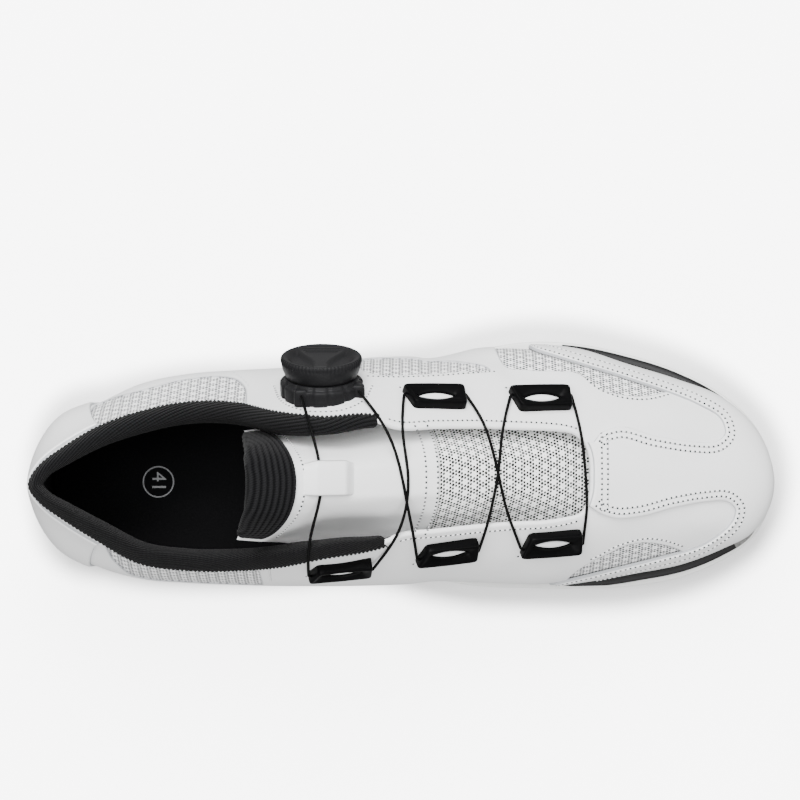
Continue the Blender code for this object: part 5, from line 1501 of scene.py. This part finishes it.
def band_grid():
    """Rows across the tongue, each a path over its end: tongue's middle + radius * direction."""
    local = -np.cos(np.linspace(0.0, math.pi, 73))
    shares = local * BAND_WIDTH_SHARE
    start, curve, power = BAND_FRONT
    front = start + curve * np.abs(local) ** power
    t = np.linspace(0.0, 1.0, 110)
    rows = front[:, None] + (1 - front[:, None]) * t[None, :]
    wide = np.broadcast_to(shares[:, None], rows.shape)
    top, normal = sampled(TONGUE_FINE, rows, wide), unit(sampled(TONGUE_FINE_NORMAL, rows, wide))
    half = TONGUE_THICKNESS / 2 * faded(shares, 5)
    lift = BAND_LIFT * faded(local, 8)
    middle = top - normal * TONGUE_THICKNESS / 2
    rise = -BAND_EDGE + (lift[:, None] + BAND_EDGE) * ease(t[None, :] / 0.05)
    end, end_normal = middle[:, -1:], normal[:, -1:]
    ahead = unit(end - middle[:, -4:-3])
    turn = np.linspace(0.0, math.pi, BAND_TURN_ROWS + 2)[None, 1:-1, None]
    way = end_normal * np.cos(turn) + ahead * np.sin(turn)
    back, back_normal = middle[:, ::-1][:, :BAND_BACK_ROWS], normal[:, ::-1][:, :BAND_BACK_ROWS]
    centre = np.concatenate([middle, np.repeat(end, BAND_TURN_ROWS, axis=1), back], axis=1)
    out = np.concatenate([normal, way, -back_normal], axis=1)
    full = np.repeat((half + lift)[:, None], BAND_TURN_ROWS + BAND_BACK_ROWS, axis=1)
    plain = centre + out * np.concatenate([half[:, None] + rise, full], axis=1)[:, :, None]
    walked = grid_uv(plain)[:, :, 1]
    ribs = BAND_RIB_HEIGHT * np.abs(np.sin(math.pi * walked / BAND_RIB)) * ease(walked / 0.0008)
    ribbed = plain + out * (ribs * faded(local, 6)[:, None])[:, :, None]
    # Shifted by a quarter rib, the knit's painted highlights sit on the real ribs' crowns and its painted
    # shade between them.
    sideways = np.broadcast_to(plain[:, :1, 1], walked.shape)
    return ribbed[:, ::-1], np.stack([sideways, walked - BAND_RIB / 4], axis=2)[:, ::-1]


band_points, band_uv = band_grid()
band_faces, corner_i, corner_j = quads(*band_points.shape[:2])
band_uv = band_uv[corner_i, corner_j]
band = piece("tongue_band", band_points, band_faces, BAND_KNIT, corner_uv=band_uv)
print("band:", len(band.data.polygons), "faces")

# %% [markdown]
# The lace guides are moulded loops of nylon, stitched to the quarters on both sides of the throat.
# Seen square on, each is a low trapezoid with rounded corners, longer on the side away from the
# throat, with a lens-shaped slot. A section is carried round the slot: up the slot's wall, over the
# crown, and down the outside into the leather.
# %% Lace guides
GUIDE_LENGTH = 0.0235
GUIDE_TAPER = 0.0030
GUIDE_WIDTH = 0.0100
GUIDE_HEIGHT = 0.0036
GUIDE_EYE_LENGTH = 0.0142
GUIDE_EYE_WIDTH = 0.0036
GUIDE_CORNERS = 11.0
GUIDES = (
    # name, side of the throat, place in plan, angle of its long side in plan (degrees)
    ("guide_outer_back", 1, 0.540, 0.328, 0.0),
    ("guide_outer_front", 1, 0.679, 0.324, 1.0),
    ("guide_inner_back", -1, 0.418, -0.313, 4.8),
    ("guide_inner_middle", -1, 0.556, -0.251, 5.5),
    ("guide_inner_front", -1, 0.693, -0.224, 3.5),
)
GUIDE_TAB = ((1.0, -0.3), (0.96, 0.30), (0.90, 0.52), (0.70, 0.62), (0.40, 0.66), (0.0, 0.67))
GUIDE_SECTION = (
    # share of the way from the slot to the outline, height as a share of the guide's height
    (0.00, -0.30), (0.00, 0.56), (0.03, 0.66), (0.10, 0.74), (0.24, 0.82), (0.42, 0.90), (0.58, 0.97),
    (0.72, 1.00), (0.84, 1.00), (0.91, 0.96), (0.96, 0.86), (0.99, 0.70), (1.00, 0.45), (1.01, -0.35),
)
skin_tree = search_tree(outer_grid, True)


def frame_of(place, ahead, normal):
    """A frame at a place whose x points ahead and whose z is the normal."""
    made = Matrix((ahead, normal.cross(ahead), normal)).transposed().to_4x4()
    made.translation = place
    return made


def at_height(plan, height):
    """Plan points, all at one height."""
    return np.column_stack([plan, np.full(len(plan), height)])


def placed(points, matrix):
    """Points in a local frame, moved into the shoe's frame."""
    turn = np.array(matrix)
    return points @ turn[:3, :3].T + turn[:3, 3]


def rounded_polygon(corners, k, angles, centre):
    """Where rays from the centre leave a polygon whose corners are rounded: the smooth minimum of
    the distances to its sides, (sum of d ** -k) ** (-1 / k). A greater k gives sharper corners."""
    corners = np.asarray(corners, float) - centre
    way = np.stack([np.cos(angles), np.sin(angles)], axis=1)
    inverse = np.zeros(len(angles))
    for start, end in zip(corners, np.roll(corners, -1, axis=0)):
        side = end - start
        square = np.array([side[1], -side[0]]) / np.linalg.norm(side)
        square *= np.sign(start @ square)
        facing = np.maximum(way @ square, 1e-9)
        inverse += (facing / (start @ square)) ** k
    return way / (inverse ** (1 / k))[:, None] + centre


def frame_along(tree, x, y, angle):
    """A frame on the skin whose x axis, seen from above, runs at an angle in degrees: its height
    follows from being square to the normal. The normal is averaged over a small patch."""
    patch = [(x + a, y + b) for a in (-0.006, 0.0, 0.006) for b in (-0.002, 0.0, 0.002)]
    normal = sum((met_below(tree, a, b)[1] for a, b in patch), Vector())
    normal = normal.normalized() if normal.z > 0 else -normal.normalized()
    c, d = math.cos(math.radians(angle)), math.sin(math.radians(angle))
    ahead = Vector((c, d, -(normal.x * c + normal.y * d) / normal.z)).normalized()
    return frame_of(met_below(tree, x, y)[0], ahead, normal)


def lens(angles, length, width):
    """A slot with two pointed ends: x = cos * length / 2, y = +-(1 - x ** 2) ** 0.9 * width / 2."""
    x = np.cos(angles)
    y = np.sign(np.sin(angles)) * np.clip(1 - x * x, 0, 1) ** 0.9
    return np.stack([x * length / 2, y * width / 2], axis=1)


def lace_guide(name, side, matrix):
    """A ring between the slot and the rounded trapezoid, and a leather tab that fills the slot."""
    half, width = GUIDE_LENGTH / 2, GUIDE_WIDTH / 2
    corners = [
        (-half, width * side), (half, width * side), (half - GUIDE_TAPER * 0.3, -width * side),
        (-half + GUIDE_TAPER, -width * side),
    ]
    centre = np.array([0.0, -side * width * 0.12])
    angles = full_turn(144)
    outline = rounded_polygon(corners, GUIDE_CORNERS, angles, centre)
    slot = lens(angles, GUIDE_EYE_LENGTH, GUIDE_EYE_WIDTH) + centre
    ring = [(slot * (1 - part) + outline * part, height) for part, height in GUIDE_SECTION]
    tab = [
        (lens(angles[::2], GUIDE_EYE_LENGTH * size, GUIDE_EYE_WIDTH * size) + centre, height)
        for size, height in GUIDE_TAB
    ]
    ring, tab = (
        placed(np.array([at_height(plan, height * GUIDE_HEIGHT) for plan, height in rows]), matrix)
        for rows in (ring, tab)
    )
    grid_piece(name + "_ring", ring, GUIDE_NYLON, [name], weld=False)
    grid_piece(name + "_tab", tab, WHITE_LEATHER)


GUIDE_FRAMES = {}
for guide_name, side, x, y, angle in GUIDES:
    GUIDE_FRAMES[guide_name] = frame_along(skin_tree, along(x), across(y), angle)
    lace_guide(guide_name, side, GUIDE_FRAMES[guide_name])
print("guides:", len(GUIDES))

# %% [markdown]
# The dial winds the cord. Its base is seated on the outer side of the instep and its knob stands
# out sideways, so from above the knob's edge shows most. The knob is narrow at the base and widest
# at a rim of fine grip teeth. Two hollows for the fingers leave a raised bridge between them.
# %% Dial
DIAL_PLACE = (0.393, 0.374)
DIAL_TILT = 71.0
DIAL_RADIUS = 0.0147
DIAL_HEIGHT = 0.0076
DIAL_BASE_RADIUS = 0.0150
DIAL_BASE_HEIGHT = 0.0040
DIAL_TEETH = 64
DIAL_TABS = ((-0.0070, -0.0122), (0.0132, -0.0066))
KNOB_PROFILE = (
    # radius as a share of the dial's, height as a share of the knob's, share of the teeth's depth
    (0.60, 0.00, 0.0), (0.84, 0.00, 0.0), (0.87, 0.02, 0.0), (0.885, 0.08, 0.0), (0.91, 0.18, 0.0),
    (0.94, 0.32, 0.0), (0.962, 0.46, 0.0), (0.975, 0.58, 0.0), (0.98, 0.65, 0.0), (0.982, 0.69, 0.2),
    (0.992, 0.72, 1.0), (1.00, 0.79, 1.0), (1.00, 0.87, 1.0), (0.992, 0.93, 1.0), (0.97, 0.975, 0.6),
    (0.945, 1.00, 0.0), (0.92, 1.00, 0.0), (0.90, 0.985, 0.0),
)
FACE_RINGS = 34
SCOOP_DEPTH = 0.0019
BRIDGE_DROP = 0.0004
BRIDGE_RIB = 0.0003
BRIDGE = (0.10, 0.46)
RIB_ROWS_ON_BRIDGE = (0.66, 0.54, 0.42)
BASE_PROFILE = (
    (0.99, -1.10), (1.00, 0.30), (1.00, 0.50), (0.985, 0.60), (0.95, 0.66), (0.91, 0.68), (0.90, 0.86),
    (0.885, 0.96), (0.86, 1.0), (0.5, 1.0), (0.0, 1.0),
)
TOOTH_DEPTH = 0.00050
LUG = (0.0050, 0.0038, 0.0032)
LUG_ROWS = ((1.0, -0.9), (1.0, 0.5), (0.97, 0.75), (0.88, 0.92), (0.7, 1.0), (0.0, 1.0))
BASE_NOTCHES = 14
NOTCH_DEPTH = 0.0005


def lathe_grid(profile, count):
    """A turned form: rows of radius and height round the local z axis."""
    angles = full_turn(count)
    circle = np.stack([np.cos(angles), np.sin(angles)], axis=1)
    return np.array([at_height(r * circle, h) for r, h in profile]), angles


def knob_face(grid):
    """Sinks the face into two hollows beside a bridge that widens outwards, with three low ribs.
    Depth: scoop * ease(distance beyond the bridge) * ease(distance from the rim)."""
    x, y = grid[:, :, 0] / DIAL_RADIUS, grid[:, :, 1] / DIAL_RADIUS
    r = np.hypot(x, y)
    width = BRIDGE[0] + BRIDGE[1] * ease((y + 0.55) / 1.3)
    beside = ease((np.abs(x) - width) / 0.16)
    inside_rim = ease((0.90 - r) / 0.22)
    ribs = sum(np.exp(-(((y - row) / 0.032) ** 2)) for row in RIB_ROWS_ON_BRIDGE)
    ribs = ribs * ease((width - 0.06 - np.abs(x)) / 0.05)
    grid[:, :, 2] += (
        -SCOOP_DEPTH * beside * inside_rim - BRIDGE_DROP * inside_rim * (1 - beside) + BRIDGE_RIB * ribs
    )
    return grid


def lug(x, y):
    """A rounded block on the base where a cord leaves it. Its plan is a superellipse, whose sides
    follow the square roots of cosine and sine, and it narrows upwards."""
    turn = full_turn(40)
    circle = np.stack([np.cos(turn), np.sin(turn)], axis=1)
    plan = np.sign(circle) * np.abs(circle) ** 0.5 * LUG[:2] / 2
    return np.array([at_height(plan * size + (x, y), h * LUG[2]) for size, h in LUG_ROWS])


dial_place = met_below(skin_tree, along(DIAL_PLACE[0]), across(DIAL_PLACE[1]))[0]
tilt = math.radians(DIAL_TILT)
dial_frame = frame_of(dial_place, Vector((1, 0, 0)), Vector((0.0, math.sin(tilt), math.cos(tilt))))
base_rows = [(r * DIAL_BASE_RADIUS, h * DIAL_BASE_HEIGHT) for r, h in BASE_PROFILE]
base_grid, base_angles = lathe_grid(base_rows, 168)
notch = ease((np.cos(base_angles * BASE_NOTCHES) - 0.55) / 0.25) * NOTCH_DEPTH / DIAL_BASE_RADIUS
base_grid[:, :, :2] *= (1 - notch)[None, :, None]
grid_piece("dial_housing", placed(base_grid, dial_frame), DIAL_NYLON, ["dial_base"])
for number, place in enumerate(DIAL_TABS):
    grid_piece(f"dial_lug_{number}", placed(lug(*place), dial_frame), DIAL_NYLON)
face_rows = [(r, 0.98, 0.0) for r in np.linspace(0.88, 0.0, FACE_RINGS)]
knob_rows = list(KNOB_PROFILE) + face_rows
knob_sizes = [(r * DIAL_RADIUS, DIAL_BASE_HEIGHT + GAP + h * DIAL_HEIGHT) for r, h, _ in knob_rows]
knob_grid, knob_angles = lathe_grid(knob_sizes, 4 * DIAL_TEETH)
teeth = ease(0.5 + 0.5 * np.cos(knob_angles * DIAL_TEETH))
depth = np.array([t for _, _, t in knob_rows])[:, None] * TOOTH_DEPTH
radius = np.maximum(np.hypot(knob_grid[:, :, 0], knob_grid[:, :, 1]), 1e-9)
knob_grid[:, :, :2] *= (1 - depth * teeth / radius)[:, :, None]
knob_grid[len(KNOB_PROFILE) :] = knob_face(knob_grid[len(KNOB_PROFILE) :])
grid_piece("dial_grip", placed(knob_grid, dial_frame), DIAL_NYLON, ["dial_knob"])
print("dial at", [round(v, 4) for v in dial_place])

# %% [markdown]
# One loop of the tongue's leather keeps the cord in the middle. It is a thin strap along the tongue
# with a low hump where the cord passes under it.
# %% Keeper
KEEPER_LENGTH = 0.0180
KEEPER_WIDTH = 0.0113
KEEPER_THICKNESS = 0.0007
KEEPER_LIFT = 0.0016
KEEPER_PLACE = (0.4050, 0.030)
KEEPER_SINK = 0.0008
KEEPER_LEAN = (0.40, 0.0, 0.80)
tongue_tree = search_tree(tongue_surface(np.linspace(0, 1, 120), np.linspace(-1, 1, 81)))
keeper_ends = np.linspace(-1.0, 1.0, 61)
keeper_sides = np.linspace(-0.5, 0.5, 31)
keeper_x = along(KEEPER_PLACE[0]) + keeper_ends * KEEPER_LENGTH / 2
keeper_y = across(KEEPER_PLACE[1]) + keeper_sides * KEEPER_WIDTH
lift = (KEEPER_LIFT + KEEPER_SINK) * ease((1 - np.abs(keeper_ends)) / 0.5) - KEEPER_SINK
keeper_hits = np.array([[met_below(tongue_tree, x, y) for y in keeper_y] for x in keeper_x])
keeper_feet, keeper_normal = keeper_hits[:, :, 0], keeper_hits[:, :, 1]
keeper_way = unit(keeper_normal * np.sign(keeper_normal[:, :, 2:]) + KEEPER_LEAN)
edge = faded(2 * keeper_sides, 8)[None, :, None] * faded(keeper_ends, 16)[:, None, None]
middle = keeper_feet + keeper_way * (GAP + KEEPER_THICKNESS / 2 + lift)[:, None, None]
keeper_grid = pad_rings(middle, keeper_way * edge * KEEPER_THICKNESS / 2)
grid_piece("keeper_loop", keeper_grid, WHITE_LEATHER, ["tongue_keeper"])
print("keeper:", keeper_grid.shape)

# %% [markdown]
# One cord, a millimetre thick, runs from the dial over the tongue and through all five guides and
# back to the dial. Between two guides it is pulled taut over what lies under it, so its height is
# the lowest line that nowhere dips below the leather. The route in plan is a short list of points.
# %% Cord
CORD_RADIUS = 0.00054
CORD_CLEARANCE = 0.00015
RUN_POINTS = 56
PLAN_ROUNDS, HEIGHT_ROUNDS = 60, 4
PASS_HEIGHT = 0.0015
PASS_LINE = ((1.0, 0.10), (0.80, 0.58), (0.0, 0.60), (-0.80, 0.58), (-1.0, 0.10))
LACE_RUNS = (
    # the run's middle points in plan, then the guide that it enters and the end it enters by
    (((0.392, 0.113), (0.399, -0.006), (0.388, -0.110), (0.380, -0.180)), "guide_inner_back", -1),
    (((0.488, -0.212), (0.495, -0.182), (0.504, -0.075), (0.508, 0.026), (0.498, 0.174), (0.496, 0.240)),
     "guide_outer_back", -1),
    (((0.605, 0.240), (0.616, 0.117), (0.623, 0.042), (0.636, -0.130), (0.642, -0.165)),
     "guide_inner_front", -1),
    (((0.736, -0.165), (0.739, -0.134), (0.738, 0.020), (0.731, 0.215)), "guide_outer_front", 1),
    (((0.629, 0.235), (0.625, 0.136), (0.623, 0.042), (0.616, -0.052), (0.608, -0.158)),
     "guide_inner_middle", 1),
    (((0.512, -0.172), (0.504, -0.075), (0.495, 0.082), (0.476, 0.230)), None, 0),
)
CORD_LIES_ON = ("upper_shell", "toe_cap_sheet", "tongue_pad", "collar_padding")


def drop_tree(objects):
    """One search tree for the outer faces of several pieces."""
    points, faces = [], []
    for item in objects:
        first = len(points)
        points += [vertex.co.copy() for vertex in item.data.vertices]
        faces += [[first + k for k in face.vertices] for face in item.data.polygons]
    return BVHTree.FromPolygons(points, faces)


def relaxed(line, times):
    """Takes the kinks out of a line: each inner point moves to the middle of its neighbours."""
    line = line.copy()
    for _ in range(times):
        line[1:-1] = 0.25 * line[:-2] + 0.5 * line[1:-1] + 0.25 * line[2:]
    return line


def taut_line(start, middle, end):
    """A pulled cord between two points in space: the upper hull of the heights under its plan."""
    between = [(float(along(x)), float(across(y))) for x, y in middle]
    line = relaxed(smooth_line([start[:2], *between, end[:2]], RUN_POINTS), PLAN_ROUNDS)
    walked = walked_along(line)
    hits = [met_below(lace_tree, x, y)[0] for x, y in line]
    height = np.array([0.0 if hit is None else hit.z for hit in hits]) + CORD_RADIUS + CORD_CLEARANCE
    height[0], height[-1] = start[2], end[2]
    a, b, i = np.meshgrid(*[np.arange(RUN_POINTS)] * 3, indexing="ij")
    share = np.where(b > a, (walked[i] - walked[a]) / np.where(b > a, walked[b] - walked[a], 1.0), 0.0)
    chord = np.where((a <= i) & (i <= b) & (b > a), height[a] * (1 - share) + height[b] * share, -1.0)
    return relaxed(np.column_stack([line, np.maximum(chord.max(axis=(0, 1)), height)]), HEIGHT_ROUNDS)


def guide_pass(name, entered):
    """The cord's way through a guide, in its closed side, from the end it enters by to the other."""
    side = 1 if "outer" in name else -1
    local = [(entered * a * GUIDE_LENGTH / 2, side * b * GUIDE_WIDTH / 2, PASS_HEIGHT) for a, b in PASS_LINE]
    return placed(np.array(local), GUIDE_FRAMES[name])


def lug_mouth(number):
    """Where the cord leaves one of the dial's lugs."""
    x, y = DIAL_TABS[number]
    return placed(np.array([(x, y - LUG[1] * 0.3, LUG[2] * 0.45)]), dial_frame)[0]


def tube_grid(path, radius, sides=12):
    """A round profile carried along a path: path + radius * (cos * side + sin * rise)."""
    forward = unit(np.gradient(path, axis=0))
    side = unit(np.cross(forward, UP))
    rise = np.cross(side, forward)
    angles = full_turn(sides)[None, :, None]
    ring = side[:, None] * np.cos(angles) + rise[:, None] * np.sin(angles)
    tips = path[[0, -1], None].repeat(sides, axis=1)
    return np.concatenate([tips[:1], path[:, None] + radius * ring, tips[1:]])


lace_tree = drop_tree([bpy.data.objects[name] for name in CORD_LIES_ON])
path, place = [], lug_mouth(0)
for middle, guide_name, end in LACE_RUNS:
    through = guide_pass(guide_name, end) if guide_name else lug_mouth(1)[None]
    path += [taut_line(place, middle, through[0]), through[1:]]
    place = through[-1]
path = np.concatenate(path)
cord_nodes = ["lace_1", "lace_2", "lace_3", "lace_4"]
grid_piece("cord_lace", tube_grid(path, CORD_RADIUS), CORD_COAT, cord_nodes)
print("cord:", round(float(walked_along(path)[-1]), 3), "m in sight")

# %% [markdown]
# Stitches make the panels read as sewn. A lockstitch shows as a short thread between two needle
# holes, 1.9 mm apart here, and each hole is a small dimple painted dark: a painted shadow in the hole.
# Every row is a line in plan, laid on the finished surfaces. All threads are one mesh and all holes
# another, each from one small shape of a few dozen faces that is copied to every place by array sums.
# %% Stitches
STITCH_PITCH = 0.0019
THREAD_HALF_WIDTH = 0.00030
THREAD_GAP = 0.0007
THREAD_LIFT = 0.00012
HOLE_RADIUS = 0.00044
HOLE_LIFT = 0.00004
LOWEST_STITCH = 0.012
THROAT_INSET = 0.0018
SEAM_TO_ROWS = (0.006, 0.034)
BAND_TO_ROW = 0.030
GUIDE_INSET = 0.0010
CAP_ROWS = (0.0015, 0.0035)
STITCHED_ROWS = (
    # plan lines in mm
    ((180.9, 18.5), (181.0, 5.0), (180.9, -9.4)),
    ((183.1, 18.2), (183.2, 5.0), (183.1, -9.2)),
    ((172.0, 41.6), (174.8, 40.4), (176.9, 37.8), (180.4, 34.9), (185.6, 32.6), (192.2, 31.1), (199.8, 31.0),
     (206.7, 32.6)),
    ((178.0, -28.0), (181.2, -26.5), (184.8, -24.3), (190.6, -21.9), (197.6, -20.4), (204.8, -21.1),
     (211.8, -23.4)),
    ((96.0, 39.3), (104.0, 39.0), (113.4, 39.2), (122.2, 39.6), (129.6, 40.2), (142.1, 41.1)),
    ((61.9, 35.6), (64.2, 31.0), (71.0, 27.4), (79.8, 26.4), (88.6, 27.5), (95.2, 31.2), (97.6, 35.6)),
    ((60.4, -25.0), (60.8, -30.0), (60.6, -35.0)),
)
THROAT_ROWS = ((4.6, 10.4), (29.9, 35.2))


def offset_line(line, distance):
    """A plan line moved sideways, to its left where distance is above 0."""
    way = unit(np.gradient(line, axis=0))
    return line + np.stack([-way[:, 1], way[:, 0]], axis=1) * distance


def pitched(line, pitch):
    """Points on a line in space, a pitch apart along it."""
    walked = walked_along(line[:, :3])
    wanted = np.linspace(0.0, walked[-1], max(int(round(walked[-1] / pitch)), 1) + 1)
    return np.column_stack([np.interp(wanted, walked, line[:, k]) for k in range(line.shape[1])])


def sewn(tree, plan):
    """Places and normals of a row's needle holes on the surface under a plan line."""
    fine = pitched(np.asarray(plan, float), 0.0004)
    hits = [met_below(tree, x, y) for x, y in fine]
    line = np.array([[*place, *normal] for place, normal in hits if place and place.z > LOWEST_STITCH])
    return pitched(line, STITCH_PITCH) if len(line) > 8 else np.zeros((0, 6))


def copies(shape, faces, centres, ahead, up):
    """A small shape at many places: centre + x * ahead + y * side + z * up."""
    side = np.cross(up, ahead)
    axes = np.stack([ahead, side, up], axis=1)
    points = centres[:, None, :] + np.einsum("vk,nkd->nvd", shape, axes)
    index = (np.arange(len(centres)) * len(shape))[:, None, None] + np.asarray(faces)[None]
    return points.reshape(-1, 3), index.reshape(-1, 4)


def thread_shape(length):
    """A spindle: five rings of six points, thick in the middle and a little flat."""
    turn = full_turn(6)
    oval = np.stack([np.zeros(6), np.cos(turn), 0.8 * np.sin(turn)], axis=1) * THREAD_HALF_WIDTH
    rings = [
        oval * size + (place * length / 2, 0.0, 0.0)
        for place, size in ((-1.0, 0.15), (-0.7, 0.85), (0.0, 1.0), (0.7, 0.85), (1.0, 0.15))
    ]
    return np.concatenate(rings), quads(5, 6, False, True)[0]


def hole_shape():
    """A shallow dimple: a ring of eight points, one half as wide inside it, and a middle."""
    turn = full_turn(8)
    disc = np.column_stack([HOLE_RADIUS * np.cos(turn), HOLE_RADIUS * np.sin(turn), np.zeros(8)])
    points = np.concatenate([disc, disc * 0.5 + (0, 0, 0.00006), [(0, 0, 0.00007)]])
    rim = [[k, (k + 1) % 8, 8 + (k + 1) % 8, 8 + k] for k in range(8)]
    return points, rim + [[8 + k, 8 + (k + 1) % 8, 16, 16] for k in range(8)]


def stitch_rows():
    """The plan lines of all rows on the toe cap and the upper."""
    cap = []
    for window, way in ((WINDOW_OUTER, -1), (WINDOW_INNER, 1)):
        line = window_line(window, 160)[3:-2]
        cap += [offset_line(line, way * distance) for distance in CAP_ROWS]
    body = [smooth_line(row, 80) / 1000 for row in STITCHED_ROWS]
    for first, last in THROAT_ROWS:
        at = even_ats(first, last, 120)
        body.append((skin(at, 1.0) - unit(skin(at, 1.0) - skin(at, 0.95)) * THROAT_INSET)[:, :2])
    for name, side, *_ in GUIDES:
        beyond = side * (GUIDE_WIDTH / 2 + GUIDE_INSET)
        ends = np.array([(-GUIDE_LENGTH / 2, beyond, 0.0), (GUIDE_LENGTH / 2, beyond, 0.0)])
        body.append(placed(ends, GUIDE_FRAMES[name])[:, :2])
    return cap + body


def tongue_rows_sewn():
    """Two rows behind the leather's front edge and one in front of the band."""
    shares = np.linspace(-0.86, 0.86, 160)
    start, curve, power = BAND_FRONT
    rows = [TONGUE_SEAM + beyond + 0 * shares for beyond in SEAM_TO_ROWS]
    rows.append(start - BAND_TO_ROW + curve * np.abs(shares / BAND_WIDTH_SHARE) ** power)
    return [sampled(TONGUE_FINE, row, shares)[:, :2] for row in rows]


cap_tree, pad_tree = drop_tree([cap, upper]), drop_tree([tongue, upper])
sewn_rows = [sewn(cap_tree, row) for row in stitch_rows()]
sewn_rows += [sewn(pad_tree, row) for row in tongue_rows_sewn()]
sewn_rows = [row for row in sewn_rows if len(row) > 2]
starts = np.concatenate([row[:-1] for row in sewn_rows])
ends = np.concatenate([row[1:] for row in sewn_rows])
normal = unit(starts[:, 3:] + ends[:, 3:])
ahead = unit(ends[:, :3] - starts[:, :3])
normal = unit(normal - ahead * (normal * ahead).sum(axis=1, keepdims=True))
centres = (starts[:, :3] + ends[:, :3]) / 2 + normal * THREAD_LIFT
thread_points, thread_faces = copies(*thread_shape(STITCH_PITCH - THREAD_GAP), centres, ahead, normal)
piece("stitch_threads", thread_points, thread_faces, THREAD)
holes = np.concatenate(sewn_rows)
up = unit(holes[:, 3:])
flat = unit(np.cross(up, np.array([0.3, 1.0, 0.2])))
hole_points, hole_faces = copies(*hole_shape(), holes[:, :3] + up * HOLE_LIFT, flat, up)
hole_faces = [list(dict.fromkeys(face)) for face in hole_faces.tolist()]
piece("needle_holes", hole_points, hole_faces, NEEDLE_HOLE_SHADOW)
print("stitches:", len(starts))

# %% [markdown]
# The shoe stands on white paper with painted light: the paper glows, so the ground of the picture is
# white, and the glow fades out in a narrow zone round the sole's outline, which paints a shadow there
# in which the lamps' own shadow shows. At each point the paper knows how far it is from the sole's
# outline, and its mesh is fine enough for that round the shoe. The glow is kept off the shoe, because
# the lamps alone should shape the leather.
# %% Paper with painted glow and shadow
PAPER_HALF = 6.0
PAPER_STEP = 0.002
PAPER_MARGIN = 0.03
LIP_ROW = 6
FLOOR_GLOW = 4.5
SHADOW_STARTS, SHADOW_ENDS = 0.004, 0.015


def paper_lines(low, high):
    """Even steps over the shoe and its margin, and wide ones out to the paper's edges."""
    fine = np.arange(low - PAPER_MARGIN, high + PAPER_MARGIN, PAPER_STEP)
    return np.concatenate([[-PAPER_HALF, -PAPER_HALF / 12], fine, [PAPER_HALF / 12, PAPER_HALF]])


def glowing_paper():
    """White paper with a painted glow, faded out in a narrow zone round the sole as a painted shadow."""
    material = moulded("white paper with painted glow", "#FCFCFC", "#FBFBFB", 0.9, 6.0, 0.01)
    tree = material.node_tree
    inputs = tree.nodes["Principled BSDF"].inputs
    away = node(tree, "Attribute", "Fac", attribute_name="away_m")
    reach = {"Value": away, "From Min": SHADOW_STARTS, "From Max": SHADOW_ENDS, "To Max": FLOOR_GLOW}
    glow = node(tree, "MapRange", 0, reach, interpolation_type="SMOOTHSTEP")
    inputs["Emission Color"].default_value = (1.0, 1.0, 1.0, 1.0)
    tree.links.new(glow, inputs["Emission Strength"])
    return material


outline = sole_loops[LIP_ROW][:, :2]
paper_x, paper_y = (paper_lines(outline[:, k].min(), outline[:, k].max()) for k in (0, 1))
paper = np.stack(np.meshgrid(paper_x, paper_y, [0.0], indexing="ij"), axis=-1).reshape(-1, 3)
floor_mesh = bpy.data.meshes.new("floor")
floor_mesh.from_pydata(paper.tolist(), [], quads(len(paper_x), len(paper_y))[0].tolist())
if floor_mesh.polygons[0].normal.z < 0:
    floor_mesh.flip_normals()
away = -inside_distance(paper[:, :2], outline)
fill_values(floor_mesh.attributes.new("away_m", "FLOAT", "POINT").data, "value", away)
floor_mesh.materials.append(glowing_paper())
floor = new_object("floor", floor_mesh)
floor.visible_diffuse = floor.visible_glossy = False
print("floor:", 2 * PAPER_HALF, "m wide,", len(paper), "points")
